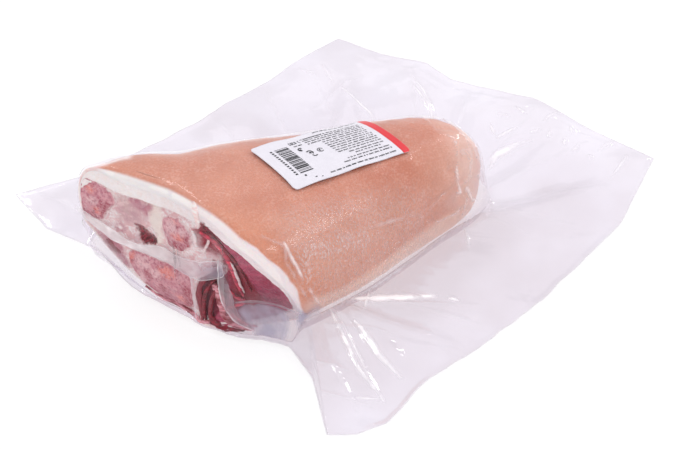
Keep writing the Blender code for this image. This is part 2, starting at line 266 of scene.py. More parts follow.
def saw_plane(y, z):
    """X of the sawn end: a bent upright plane, lean meat drawn back, and strips pressed out at its foot."""
    off = SAW_Y - y
    plane = SAW_X + np.where(off > 0, SAW_SLOPE_FRONT, SAW_SLOPE_BACK) * off
    recess = MUSCLE_RECESS * smooth((RECESS_FROM_Y - y) / RECESS_WIDTH)
    recess = recess * np.clip((RECESS_TOP - z) / RECESS_DEPTH, 0, 1.1)
    along, up = FOOT_FOLD_REACH
    out = FOOT_FOLD * np.exp(-((y - FOOT_FOLD_Y) / along) ** 2 - (z / up) ** 2)
    for lump_y, lump_z, half_width, half_height, height in SAW_LUMPS:
        out = out + height * np.exp(-((y - lump_y) / half_width) ** 2 - ((z - lump_z) / half_height) ** 2)
    return plane + recess - out


def sections(x):
    """Front, back, ridge y, ridge height and height of the widest point of the shank's section at x."""
    return [through_table(STATIONS[:, 0], STATIONS[:, k], x) for k in range(1, 6)]


def hock_closing(x):
    """Share of the full section left at x as the narrow end rounds off: a superellipse quarter."""
    along = np.clip((x - HOCK_START) / (HOCK_END - HOCK_START), 0, 0.99999)
    return (1 - along ** HOCK_POWER) ** (1 / HOCK_POWER)


def section_powers(x, meat):
    """Superellipse powers at x: above the widest point at the back, and below it at the back."""
    corner = CORNER_POWER * (1 - smooth((x - CORNER_FROM_X) / CORNER_RUN))
    bare = (1 - smooth((x - BARE_FROM_X) / BARE_RUN)) if meat else 0 * x
    return UPPER_POWER + corner, LOWER_BACK_POWER + (BARE_POWER - LOWER_BACK_POWER) * bare


def quarter(section, x, behind, above, meat):
    """Half width, half height and superellipse power of the section's quarter that each point lies in."""
    front, back, ridge, top, wide = section
    upper_back, lower_back = section_powers(x, meat)
    upper = np.where(behind, upper_back, UPPER_POWER)
    lower = np.where(behind, lower_back, LOWER_FRONT_POWER)
    return (np.where(behind, back - ridge, ridge - front), np.where(above, top - wide, wide),
            np.where(above, upper, lower))


def superellipse(y, z, half_width, half_height, power):
    """Sum of the two scaled distances, each to the power: 1 on the outline and less inside it."""
    return np.abs(y / half_width) ** power + np.abs(z / half_height) ** power


def side_depth(x, y, z):
    """Below 0 inside the uncut pouch: superellipse sections through the stations, closing at the hock."""
    section = sections(x)
    ridge, wide = section[2], section[4]
    closing = hock_closing(x)
    half_width, half_height, power = quarter(section, x, y > ridge, z > wide, False)
    total = superellipse(y - ridge, z - wide, half_width * closing, half_height * closing, power)
    return (total ** (1 / power) - 1) * 30 * np.maximum(closing, 0.3) + np.maximum(x - HOCK_END, 0)


def over_top(y, z):
    """1 along the top of the sawn rim, where fat turns over softly; 0 at its upright back edge and foot."""
    return smooth((56 - y) / 16) * smooth((z - 36) / 18)


def shank_depth(x, y, z):
    """Below 0 inside the cut shank: the uncut shank and the saw plane, with a rounded rim between."""
    side = side_depth(x, y, z)
    end = (saw_plane(y, z) - x) * 0.88
    rounding = RIM_SHARP + (RIM_ROUNDING - RIM_SHARP) * over_top(y, z)
    near = np.maximum(rounding - np.abs(side - end), 0) / rounding
    return np.maximum(side, end) + near * near * rounding / 4


def crossing(inside, low, high, halvings=26):
    """Distance at which a whole array of rays leaves a body, halving each ray's bracket."""
    for _ in range(halvings):
        middle = (low + high) / 2
        within = inside(middle)
        low = np.where(within, middle, low)
        high = np.where(within, high, middle)
    return (low + high) / 2


def shank_profile(bearing, elevation):
    """Radius and height of the pouch's skin, seen from its heart along each bearing and elevation."""
    away, up = np.cos(elevation), np.sin(elevation)
    east, north = np.cos(bearing) * away, np.sin(bearing) * away
    start = np.zeros(np.broadcast(bearing, elevation).shape)
    reach = crossing(
        lambda d: shank_depth(HEART[0] + d * east, HEART[1] + d * north, HEART[2] + d * up) < 0,
        start, start + 260)
    return reach * away, HEART[2] + reach * up


def top_height(x, y):
    """Height of the pouch's skin over points of its plan."""
    start = np.full(np.broadcast(x, y).shape, HEART[2])
    return crossing(lambda z: shank_depth(x, y, z) < 0, start, start + 80)


def normals_of(grid):
    """Unit normals of a grid of points, from the cross product of its two directions."""
    normal = np.cross(np.gradient(grid, axis=0), np.gradient(grid, axis=1))
    return normal / (np.linalg.norm(normal, axis=-1, keepdims=True) + 1e-12)


def outward_normals(grid):
    """Unit normals of a closed grid round the shank's heart, all turned away from it."""
    normal = normals_of(np.concatenate((grid[:, -1:], grid, grid[:, :1]), axis=1))[:, 1:-1]
    return normal * np.sign(((grid - np.array(HEART)) * normal).sum(-1, keepdims=True))


# ------------------------------------ mesh making
def laid(name, points, quads, material, replaces=(), attributes=None, smooth=True):
    """Object riding on the pack, from points in millimetres and an array of four-cornered faces."""
    points = (np.asarray(points, float).reshape(-1, 3) + SHANK_DATUM) * MM
    quads = np.asarray(quads, np.int32).reshape(-1, 4)
    mesh = bpy.data.meshes.new(name)
    mesh.vertices.add(len(points))
    mesh.vertices.foreach_set("co", points.astype(np.float32).ravel())
    mesh.loops.add(quads.size)
    mesh.loops.foreach_set("vertex_index", quads.ravel())
    mesh.polygons.add(len(quads))
    mesh.polygons.foreach_set("loop_start", np.arange(0, quads.size, 4, dtype=np.int32))
    mesh.update(calc_edges=True)
    for label, values in (attributes or {}).items():
        layer = mesh.attributes.new(label, "FLOAT", "POINT")
        layer.data.foreach_set("value", np.asarray(values, np.float32).ravel())
    mesh.validate()
    if smooth:
        mesh.shade_smooth()
    mesh.materials.append(material)
    piece = bpy.data.objects.new(name, mesh)
    bpy.context.scene.collection.objects.link(piece)
    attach(piece, "root")
    if replaces:
        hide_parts(*replaces)
    return piece


def grid_quads(rows, columns, wrap=False, first=0, flip=False):
    """Faces of a grid of points, row after row, whose columns may close on themselves."""
    across = columns if wrap else columns - 1
    row, column = np.meshgrid(np.arange(rows - 1), np.arange(across), indexing="ij")
    after = (column + 1) % columns
    quads = np.stack((row * columns + column, (row + 1) * columns + column,
                      (row + 1) * columns + after, row * columns + after), axis=-1).reshape(-1, 4) + first
    return quads[:, ::-1] if flip else quads


def pole_quads(ring_start, columns, pole, flip=False):
    """Faces that close a ring of points onto its pole, two steps of the ring to a face."""
    k = np.arange(0, columns, 2)
    quads = np.stack((np.full(k.shape, pole), ring_start + k, ring_start + (k + 1) % columns,
                      ring_start + (k + 2) % columns), axis=-1)
    return quads[:, ::-1] if flip else quads


def laid_grid(name, grid, material, wrap=False, flip=False, replaces=(), attributes=None):
    """Object of one grid of points, row after row."""
    quads = grid_quads(*grid.shape[:2], wrap=wrap, flip=flip)
    return laid(name, grid, quads, material, replaces, attributes)


def capped(grid, first=None, last=None, flip=False):
    """Points and faces of a grid of rings whose first ring, last ring, or both close onto a pole."""
    rows, columns = grid.shape[:2]
    points, quads = [grid.reshape(-1, 3)], [grid_quads(rows, columns, wrap=True, flip=flip)]
    for pole, ring_start, turned in ((first, 0, not flip), (last, (rows - 1) * columns, flip)):
        if pole is not None:
            quads.append(pole_quads(ring_start, columns, rows * columns + len(points) - 1, turned))
            points.append([pole])
    return np.concatenate(points), np.concatenate(quads)


def tube_points(path, radius_across, radius_out, out, around):
    """Flattened tube: an oval ring round each point of the path, broad across it and thin the way out."""
    path = np.asarray(path, float)
    along = np.gradient(path, axis=0)
    along /= np.linalg.norm(along, axis=1, keepdims=True)
    out = out - (out * along).sum(1, keepdims=True) * along
    out /= np.linalg.norm(out, axis=1, keepdims=True)
    across = np.cross(along, out)
    angle = np.linspace(0, TURN, around, endpoint=False)[None, :, None]
    return (path[:, None] + across[:, None] * np.cos(angle) * radius_across[:, None, None]
            + out[:, None] * np.sin(angle) * radius_out[:, None, None])


def eased_path(corners, steps):
    """Evenly spaced points on a smooth curve (Catmull-Rom) through a few corners."""
    corners = np.asarray(corners, float)
    padded = np.concatenate((2 * corners[:1] - corners[1:2], corners, 2 * corners[-1:] - corners[-2:-1]))
    t = np.linspace(0, 1, 24, endpoint=False)[:, None]
    spans = []
    for a, b, c, d in zip(padded, padded[1:], padded[2:], padded[3:]):
        spans.append(0.5 * (2 * b + (c - a) * t + (2 * a - 5 * b + 4 * c - d) * t ** 2
                            + (3 * b - a - 3 * c + d) * t ** 3))
    fine = np.concatenate(spans + [corners[-1:]])
    length = running_length(*fine.T)
    stops = np.linspace(0, length[-1], steps)
    return np.stack([np.interp(stops, length, fine[:, k]) for k in range(fine.shape[1])], axis=1)


# ------------------------------------ materials
def with_alpha(colour):
    return (*colour, 1)


def as_input(value):
    """Colours of three numbers get their fourth; sockets and plain numbers stay as they are."""
    plain = isinstance(value, (bpy.types.NodeSocket, float, int)) or len(value) != 3
    return value if plain else with_alpha(value)


class Nodes:
    """Node material in the making; each method adds nodes and returns a node or a socket."""

    def __init__(self, name):
        self.material = bpy.data.materials.new(name)
        self.material.use_nodes = True
        self.tree = self.material.node_tree
        self.tree.nodes.clear()
        self.output = self.tree.nodes.new("ShaderNodeOutputMaterial")
        self.where = self.add("TexCoord").outputs["Object"]
        self.colour = None

    def add(self, kind, inputs=None, **settings):
        """Node of a kind, with its settings, and with its inputs set to values or joined to sockets."""
        node = self.tree.nodes.new("ShaderNode" + kind)
        for key, value in settings.items():
            setattr(node, key, value)
        for key, value in (inputs or {}).items():
            if isinstance(value, bpy.types.NodeSocket):
                self.tree.links.new(value, node.inputs[key])
            else:
                node.inputs[key].default_value = value
        return node

    def finished(self, surface):
        """The material, with its surface joined to its output."""
        self.tree.links.new(surface.outputs[0], self.output.inputs[0])
        return self.material

    def damp(self, roughness, normal, under, coat, spread, mirror=0.25):
        """Damp skin or flesh: share and depth of light under it, and share and roughness of a wet coat."""
        surface = self.add("BsdfPrincipled", {
            "Base Color": self.colour, "Roughness": roughness, "Normal": normal,
            "Subsurface Weight": under[0], "Subsurface Scale": under[1], "Subsurface Radius": spread,
            "Specular IOR Level": mirror, "Coat Weight": coat[0], "Coat Roughness": coat[1]})
        return self.finished(surface)

    def mixed(self, share, first, second):
        """Colour between two colours or sockets, by a share from 0 to 1."""
        values = {0: share, 6: as_input(first), 7: as_input(second)}
        return self.add("Mix", values, data_type="RGBA").outputs[2]

    def coat(self, share, cover):
        """Lays a colour over the material's running colour, by a share from 0 to 1."""
        self.colour = self.mixed(share, self.colour, cover)

    def eased(self, value, low, high, to_low=0, to_high=1):
        """A value's span from low to high, spread smoothly over another span."""
        return self.add("MapRange", {0: value, 1: low, 2: high, 3: to_low, 4: to_high},
                        interpolation_type="SMOOTHSTEP").outputs[0]

    def maths(self, how, first, second):
        return self.add("Math", {0: first, 1: second}, operation=how).outputs[0]

    def times(self, first, second):
        return self.maths("MULTIPLY", first, second)

    def plus(self, first, second):
        return self.maths("ADD", first, second)

    def attribute(self, name):
        return self.add("Attribute", attribute_name=name).outputs["Fac"]

    def noise(self, millimetres, detail, roughness=0.5, warp=0, where=None):
        """Noise whose features are so many millimetres across."""
        return self.add("TexNoise", {"Vector": self.where if where is None else where,
                                     "Scale": 1000 / millimetres, "Detail": detail,
                                     "Roughness": roughness, "Distortion": warp}).outputs["Fac"]

    def cells(self, millimetres, feature="F1", randomness=1):
        """Distance in a pattern of cells that are so many millimetres across."""
        return self.add("TexVoronoi", {"Vector": self.where, "Scale": 1000 / millimetres,
                                       "Randomness": randomness}, feature=feature).outputs["Distance"]

    def bumped(self, height, millimetres, strength=1, normal=None):
        """Normal tilted by a height pattern of so many millimetres."""
        inputs = {"Height": height, "Distance": millimetres * MM, "Strength": strength}
        if normal is not None:
            inputs["Normal"] = normal
        return self.add("Bump", inputs).outputs["Normal"]


def make_rind_material(look):
    """Scraped pork rind: peach skin, blotched and faintly veined, with pores and a damp shine."""
    make = Nodes("scraped_rind")
    blotch = make.noise(45, 2)
    mottle = make.noise(11, 4, 0.6)
    grain = make.noise(1.6, 3, 0.65)
    make.colour = make.mixed(make.eased(blotch, 0.35, 0.68), look.rind_deep, look.rind_pale)
    make.coat(make.eased(mottle, 0.42, 0.75, 0, 0.55), look.rind_blush)
    make.coat(make.eased(make.attribute("near_cut"), 0, 1, 0, 0.55), look.rind_orange)
    # Milky rind, with painted sheen on the front and painted light along the top.
    make.coat(make.times(make.attribute("pale_zone"), 0.95), look.rind_milky_and_painted_light)
    make.coat(make.eased(grain, 0.35, 0.75, 0, 0.26), look.rind_freckle)
    dots = make.cells(1.25, "F1", 0.8)
    depth = make.eased(mottle, 0.3, 0.7, 0.05, 0.26)
    make.coat(make.times(make.eased(dots, 0.42, 0.75), depth), look.rind_milky_and_painted_light)
    pink = make.times(make.attribute("pink_rim"), make.eased(grain, 0.25, 0.7, 0.5, 1))
    make.coat(make.attribute("over_rim"), make.mixed(pink, look.rim_white, look.rim_pink))
    tissue = make.mixed(make.eased(mottle, 0.35, 0.7), look.fat_cream, look.fat_pink)
    make.coat(make.attribute("bare"), tissue)
    pores = make.cells(1.5)
    pore_dip = make.eased(pores, 0, 0.45)
    make.coat(make.eased(pores, 0, 0.22, 0.20, 0), look.rind_freckle)
    roughness = make.eased(mottle, 0.3, 0.8, 0.34, 0.52)
    relief = make.plus(make.times(pore_dip, 0.5), make.times(grain, 0.7))
    normal = make.bumped(relief, 0.22, 0.75)
    normal = make.bumped(mottle, 0.9, 0.5, normal)
    return make.damp(roughness, normal, (0.18, 0.004), (0.15, 0.22), (1, 0.45, 0.3), 0.35)


def make_flesh_material(look):
    """The sawn face: damp tissue, with fat, lean meat, gristle, bruises and blood where the regions say."""
    make = Nodes("sawn_flesh")
    ragged = make.noise(4, 4, 0.65)
    wander = make.times(make.maths("SUBTRACT", ragged, 0.5), 6)
    small = make.noise(1.3, 3, 0.6)
    broad = make.noise(14, 3)
    drift = make.noise(6, 3, 0.6, 0.6)

    def region(name, soft=0.8, wobble=1, most=1):
        inward = make.plus(make.attribute(name), make.times(wander, wobble))
        return make.eased(inward, -soft, soft, 0, most)

    tissue = make.mixed(make.eased(small, 0.3, 0.7), look.tissue_pale, look.fat_white)
    tissue = make.mixed(make.eased(drift, 0.46, 0.62, 0, 0.7), tissue, look.tissue_pink)
    tissue = make.mixed(make.eased(broad, 0.5, 0.68, 0, 0.6), tissue, look.tissue_mauve)
    fibre = make.add("TexWave", {"Vector": make.where, "Scale": 130, "Distortion": 9, "Detail": 3,
                            "Detail Scale": 2.2, "Detail Roughness": 0.6}, wave_type="BANDS",
                bands_direction="DIAGONAL").outputs["Fac"]
    lean = make.mixed(make.eased(fibre, 0.2, 0.9), look.lean_mauve, look.lean_bright)
    lean = make.mixed(make.eased(broad, 0.4, 0.7, 0, 0.7), lean, look.lean_dark)
    veins = make.cells(6.5, "DISTANCE_TO_EDGE")
    lean = make.mixed(make.eased(veins, 0, 0.05, 0.30, 0), lean, look.marbling)
    lean = make.mixed(region("dusk", 2, 0.6, 0.85), lean, look.lean_dusk)
    fat = make.mixed(make.eased(ragged, 0.35, 0.7), look.fat_white, look.fat_cream)
    fat = make.mixed(make.eased(small, 0.5, 0.8, 0, 0.35), fat, look.fat_pink)
    fat = make.mixed(make.times(make.attribute("pink_rim"), 0.7), fat, look.rim_pink)
    make.colour = make.mixed(region("lean", 0.5, 0.5), tissue, lean)
    make.coat(region("deep", 1.6, 0.8), look.lean_wet)
    tan = make.mixed(make.eased(drift, 0.40, 0.60), look.tissue_tan, look.tissue_mauve)
    tan = make.mixed(make.eased(ragged, 0.46, 0.62, 0, 0.8), tan, look.tissue_pale)
    make.coat(region("tan", 3.2, 1.6, 0.85), tan)
    make.coat(region("pale", 1.8, 0.8, 0.9), look.cartilage)
    bruise = make.mixed(make.eased(small, 0.35, 0.65), look.marrow_mauve, look.bone_pink)
    bruise = make.mixed(make.eased(drift, 0.45, 0.65, 0, 0.7), bruise, look.tissue_mauve)
    make.coat(region("mauve", 2, 1.3, 0.9), bruise)
    make.coat(region("fat", 0.6, 0.4), fat)
    clot = make.mixed(make.eased(small, 0.40, 0.62), look.blood, look.lean_wet)
    make.coat(make.eased(make.plus(make.attribute("blood"), wander), -1.6, 0.4), clot)
    pink = make.times(make.attribute("pink_rim"), make.eased(ragged, 0.3, 0.7, 0.4, 1))
    white = make.mixed(pink, look.rim_white, look.rim_pink)
    make.coat(make.eased(make.attribute("rim"), -0.2, 1.6, 1, 0), white)
    relief = make.plus(ragged, make.times(small, 0.6))
    relief = make.plus(relief, make.times(fibre, 0.25))
    roughness = make.eased(broad, 0.3, 0.7, 0.20, 0.42)
    return make.damp(roughness, make.bumped(relief, 0.45, 0.7), (0.10, 0.002), (0.15, 0.08),
                     (1, 0.3, 0.25))


def make_bone_material(look):
    """Sawn bone end: a spongy red and pink honeycomb with pale patches and dark pits, in a white wall."""
    make = Nodes("sawn_bone")
    ragged = make.noise(4, 4, 0.7)
    patch = make.noise(8, 4, 0.62, 0.4)
    fleck = make.noise(1.7, 3, 0.6)
    sponge = make.cells(2)
    wander = make.times(make.maths("SUBTRACT", ragged, 0.5), 9)

    def spots(name, most):
        return make.eased(make.plus(make.attribute(name), wander), -1, 2.2, 0, most)

    make.colour = make.mixed(make.eased(patch, 0.38, 0.62), look.bone_pink, look.bone_blush)
    make.coat(spots("warm", 0.9), look.bone_orange)
    make.coat(spots("light", 0.8), look.bone_pale)
    make.coat(make.eased(ragged, 0.52, 0.64, 0, 0.65), look.marrow_mauve)
    make.coat(spots("dark", 0.9), look.bone_red)
    make.coat(make.eased(fleck, 0.34, 0.48, 0.45, 0), look.bone_red)
    make.coat(make.eased(fleck, 0.55, 0.68, 0, 0.5), look.bone_pale)
    make.coat(make.eased(ragged, 0.32, 0.42, 0.7, 0), look.marrow_dark)
    make.coat(make.eased(sponge, 0.34, 0.60, 0, 0.22), look.bone_pale)
    edge = make.plus(make.attribute("inward"),
                 make.times(make.maths("SUBTRACT", ragged, 0.5), 3))
    make.coat(make.eased(edge, 0.5, 1.7, 1, 0), look.bone_wall)
    relief = make.plus(make.eased(sponge, 0, 0.6), ragged)
    return make.damp(0.34, make.bumped(relief, 0.5, 0.8), (0.08, 0.0015), (0.15, 0.12),
                     (1, 0.35, 0.3))


def make_strip_material(name, dark, bright, shine):
    """Loose strips of meat, fat and sinew: streaked along their length, wet."""
    make = Nodes(name)
    drawn_out = make.add("Mapping", {"Vector": make.where, "Scale": (1, 0.6, 2.6)}).outputs[0]
    streak = make.add("TexNoise", {"Vector": drawn_out,
                              "Scale": 240, "Detail": 4, "Roughness": 0.6}).outputs["Fac"]
    patch = make.noise(8, 3)
    make.colour = make.mixed(make.eased(streak, 0.32, 0.70), dark, bright)
    make.coat(make.eased(patch, 0.5, 0.75, 0, 0.5), bright)
    return make.damp(0.28, make.bumped(streak, 0.5, 0.8), (0.15, 0.002), (0.4 * shine, 0.06),
                     (1, 0.35, 0.3))


FILM_MIRROR = 0.016       # share mirrored by the tight film, seen straight on
SPARE_MIRROR = 0.060      # and by each loose sheet


def make_film_material(name, look, haze, haze_colour, tints, ripple, roughness, mirror=SPARE_MIRROR):
    """Clear film: light passes straight through a tint, and a rippled skin mirrors at grazing angles.

    The mirror's share is m + (1 - m) times (1 - cosine) to the fifth power, the same seen from either side.
    The "milk" attribute adds white haze, at its strongest the white of painted crease highlights, which
    also glow faintly; "lilac" adds bluer haze, "shade" deepens the tint as painted shade, and the grain
    attribute adds a fine grain and white specks that are painted glints.
    """
    make = Nodes(name)
    soft = make.noise(16, 2, 0.5, 0.4)
    fine = make.noise(4, 2, 0.5)
    height = make.plus(soft, make.times(fine, 0.22))
    normal = make.bumped(height, 1.2, ripple)
    grain = make.times(make.noise(1.8, 2, 0.6), make.attribute("pebble"))
    normal = make.bumped(grain, 0.55, 1, normal)
    cloud = make.times(make.eased(make.noise(40, 2), 0.3, 0.7), 0.30)
    depth = make.plus(make.attribute("shade"), cloud)
    clear = make.add("BsdfTransparent", {"Color": make.mixed(depth, *tints)})
    slant = make.add("Mapping", {"Vector": make.where, "Rotation": (0, 0.3, 0),
                                 "Scale": (1, 0.7, 0.4)}).outputs[0]
    # Painted glints: white specks of haze where the grain attribute is high.
    specks = make.eased(make.noise(0.9, 3, 0.65, where=slant), 0.42, 0.62, 0, look.speck_glint)
    specks = make.times(specks, make.attribute("pebble"))
    milk = make.maths("MAXIMUM", make.maths("MINIMUM", make.attribute("milk"), 1), specks)
    lilac = make.attribute("lilac")
    white = make.mixed(make.eased(lilac, 0, 0.3), haze_colour, look.pocket_lilac)
    # Painted highlight: strong haze takes the white of the crease lines.
    white = make.mixed(make.eased(milk, 0.2, 0.7), white, look.haze_and_highlight_white)
    milk = make.maths("MAXIMUM", milk, lilac)
    # Painted glow: where the haze is strongest, on crease lines and pleats, the film also glows faintly.
    milky = make.add("BsdfPrincipled", {
        "Base Color": white, "Roughness": 0.45, "Specular IOR Level": 0.3, "Emission Color": (1, 1, 1, 1),
        "Emission Strength": make.eased(make.attribute("milk"), 0.7, 1.1, 0, 0.35)})
    through = make.add("BsdfTranslucent", {"Color": white})
    fog = make.add("MixShader", {0: 0.4, 1: milky.outputs[0], 2: through.outputs[0]})
    gloss = make.add("BsdfAnisotropic", {"Color": (1, 1, 1, 1), "Roughness": roughness,
                                    "Normal": normal})
    veil = make.add("MixShader", {0: make.plus(milk, haze), 1: clear.outputs[0], 2: fog.outputs[0]})
    aslant = make.add("LayerWeight", {"Blend": 0.5, "Normal": normal}).outputs["Facing"]
    steep = make.times(make.maths("POWER", aslant, 5), 1 - mirror)
    both = make.add("MixShader", {0: make.plus(steep, mirror), 1: veil.outputs[0], 2: gloss.outputs[0]})
    return make.finished(both)


def make_plain_material(name, colour, roughness, speckle, coat=0.0):
    """Printed or coated paper: one colour with a faint cloudiness and a fine tooth."""
    make = Nodes(name)
    cloud = make.noise(7, 3)
    tooth = make.noise(0.35, 2)
    darker = tuple(c * (1 - speckle * 2) for c in colour)
    shade = make.mixed(make.eased(cloud, 0.35, 0.7), with_alpha(darker), with_alpha(colour))
    surface = make.add("BsdfPrincipled", {
        "Base Color": shade, "Roughness": roughness, "Normal": make.bumped(tooth, 0.03, 0.5),
        "Coat Weight": coat, "Coat Roughness": 0.2})
    return make.finished(surface)


# ------------------------------------ meat
def section_angles(count):
    """Angles round the superellipse that are evenly spaced along a middle section's skin."""
    angle = np.linspace(0, TURN, 4001)
    length = running_length(*section_point(-30, angle, 1, 0))
    return np.interp(np.arange(count) / count * length[-1], length, angle)


def section_point(x, angle, closing, inset):
    """Point of the meat's section at x: its middle, plus signed cosine and sine to the power 2/n."""
    section = sections(x)
    cosine, sine = np.cos(angle), np.sin(angle)
    half_width, half_height, power = quarter(section, x, cosine > 0, sine > 0, True)
    half_width = np.maximum(half_width * closing - inset, 0)
    half_height = np.maximum(half_height * closing - inset, 0)
    return (section[2] + half_width * np.sign(cosine) * np.abs(cosine) ** (2 / power),
            section[4] + half_height * np.sign(sine) * np.abs(sine) ** (2 / power))


def rim_x(angle):
    """X at which each line of skin meets the saw plane, halving a bracket."""
    def before(x):
        y, z = section_point(x, angle, hock_closing(x), 0)
        return x < saw_plane(y, z)

    low = np.full(angle.shape, -170.0)
    return crossing(before, low, low + 210, 30)


RIND_ROUND = 408
RIND_ROWS = (30, 136, 74)  # over the rim's edge, along the shank, over the narrow end
RIM_RADIUS = (1.6, 6.4)    # at the upright edges and the foot, and over the top
HIDDEN_RIM = 4.0           # how far the rolled rim runs on behind the sawn face
RIND_CREASES = (           # start and end on the skin, depth, half width
    ((34, -30, 40), (66, -14, 40), 1.2, 2.4), ((48, -24, 52), (78, 0, 50), 1, 2.2),
    ((60, 14, 70), (86, 8, 48), 0.9, 2.6), ((70, 40, 44), (84, 20, 56), 1, 2.4),
    ((22, -12, 72), (40, 16, 70), 0.7, 3.2), ((40, -12, 64), (58, 4, 66), 0.7, 3),
    ((-22, -48, 44), (-12, -44, 46), 1.1, 1.6), ((-60, -52, 30), (-30, -48, 20), 0.5, 3),
)


def rim_radius(y, z):
    """Radius at which the meat turns over at its sawn rim."""
    return RIM_RADIUS[0] + (RIM_RADIUS[1] - RIM_RADIUS[0]) * over_top(y, z)


def rind_surface(relief):
    """Rind: sections carried from the rim to the narrow end, rolled in over the rim by a quarter circle.

    The skin is then moved along its normals by soft hollows, by named creases, and by a fine pebbling.
    """
    angle = section_angles(RIND_ROUND)
    rim = rim_x(angle)
    edge_rows, long_rows, end_rows = RIND_ROWS
    radius = rim_radius(*section_point(rim, angle, 1, 0))
    rows = []
    turns = np.linspace(-0.8, 1, edge_rows)
    for share in turns:
        turn = math.pi / 2 * max(share, 0)
        hidden = HIDDEN_RIM * max(-share, 0)
        inset = FILM_PLAY + radius * (1 - math.sin(turn)) + hidden
        back_off = FILM_PLAY + radius * (1 - math.cos(turn)) + hidden
        y, z = section_point(rim + back_off, angle, 1, inset)
        rows.append((y, z, saw_plane(y, z) + back_off))
    start = rim + FILM_PLAY + radius
    for share in np.linspace(0, 1, long_rows + 1)[1:]:
        x = start + (HOCK_START - start) * share
        rows.append(section_point(x, angle, 1, FILM_PLAY) + (x,))
    for turn in np.linspace(0, math.pi / 2, end_rows + 1)[1:-1]:
        x = HOCK_START + (HOCK_END - FILM_PLAY - HOCK_START) * math.sin(turn) ** (2 / HOCK_POWER)
        x = np.full(angle.shape, x)
        closing = math.cos(turn) ** (2 / HOCK_POWER)
        rows.append(section_point(x, angle, closing, FILM_PLAY * closing) + (x,))
    grid = np.array([np.stack((x, y, z), axis=-1) for y, z, x in rows])
    x, y, z = split(grid)
    skin_start = x - rim[None]
    ragged = noise(grid, 6, 2, 15)
    band = 5 * rises(z, 20, 20) * falls(z, 72, 10) * falls(y, -14, 12)
    over_rim = np.zeros(x.shape)
    over_rim[:edge_rows] = 1 - rises(turns[:, None], 0.42, 0.20)
    over_rim = np.maximum(over_rim, 1 - smooth((skin_start - band - 0.6 * ragged) / 1.6))
    lift = 0.9 * noise(grid, 30, 2, 3) + 0.22 * noise(grid, 7, 2, 9)
    lift += 0.05 * noise(grid, 1.7, 2, 21)
    for start_at, end_at, depth, half_width in RIND_CREASES:
        lift -= depth * np.exp(-(from_segment(grid, start_at, end_at) / half_width) ** 2)
    lift = relief * np.minimum(lift - 0.3, 0.45) * rises(skin_start, 1, 6)
    grid = grid + outward_normals(grid) * lift[..., None]
    zones = {"over_rim": over_rim, **rind_zones(grid, skin_start, ragged)}
    return grid, {name: np.clip(values, 0, 1) for name, values in zones.items()}


def rind_zones(grid, skin_start, ragged):
    """Where the rind is warm beside the cut, milky (with painted sheen on its front and painted light along
    its top), pink under the rim, or bare of skin.
    """
    x, y, z = split(grid)
    on_skin = np.maximum(skin_start, 0)
    near_cut = np.exp(-np.maximum(skin_start - 2, 0) / 14) * (0.35 + 0.65 * falls(y, 20, 60))
    near_cut += 0.35 * falls(y, -10, 30) * falls(x, 30, 90)
    near_cut = np.maximum(near_cut, 0.5 * rises(y, -2, 26) * np.exp(-skin_start / 38))
    hock = rises(x, 24, 50) * falls(y, 14, 30)
    far_end = rises(x, 58, 20) * falls(y, 34, 20)
    low_front = falls(z, 30, 10) * rises(x, -66, 20)
    # Painted light: the front is paled as a painted sheen of the film, and the top as painted light from
    # above, in the same zone as the milky narrow end and lower front.
    front = 0.30 * falls(y, -14, 22) * rises(skin_start, 12, 16)
    high = rises(z, 62, 16)
    milky = np.maximum.reduce((0.52 * hock + 0.46 * far_end, 0.98 * low_front, front, 0.11 * high))
    low_back = rises(y, 8, 20) * falls(z, 44, 10) * np.exp(-on_skin / 26)
    foot = falls(z, 14, 8) * rises(y, -44, 10) * np.exp(-skin_start / 14)
    back_edge = smooth((y - 45 - 0.22 * on_skin - 2.5 * ragged) / 8)
    return {"pink_rim": falls(y, 6, 18), "near_cut": near_cut, "pale_zone": milky,
            "bare": np.maximum(1.6 * np.maximum(low_back, foot), 1.3 * back_edge)}


def from_segment(points, start, end):
    """Distance of points in space from a straight line between two points."""
    start, end = np.asarray(start, float), np.asarray(end, float)
    along = end - start
    t = np.clip(((points - start) @ along) / (along @ along), 0, 1)
    return np.linalg.norm(points - start - t[..., None] * along, axis=-1)


def build_rind(look):
    grid, zones = rind_surface(look.relief)
    tip = grid[-1].mean(axis=0) + (0.05, 0, 0)
    points, quads = capped(grid, last=tip, flip=True)
    zones = {name: np.append(values, values[-1].mean()) for name, values in zones.items()}
    return laid("shank_rind", points, quads, make_rind_material(look), ("pouch",), zones)


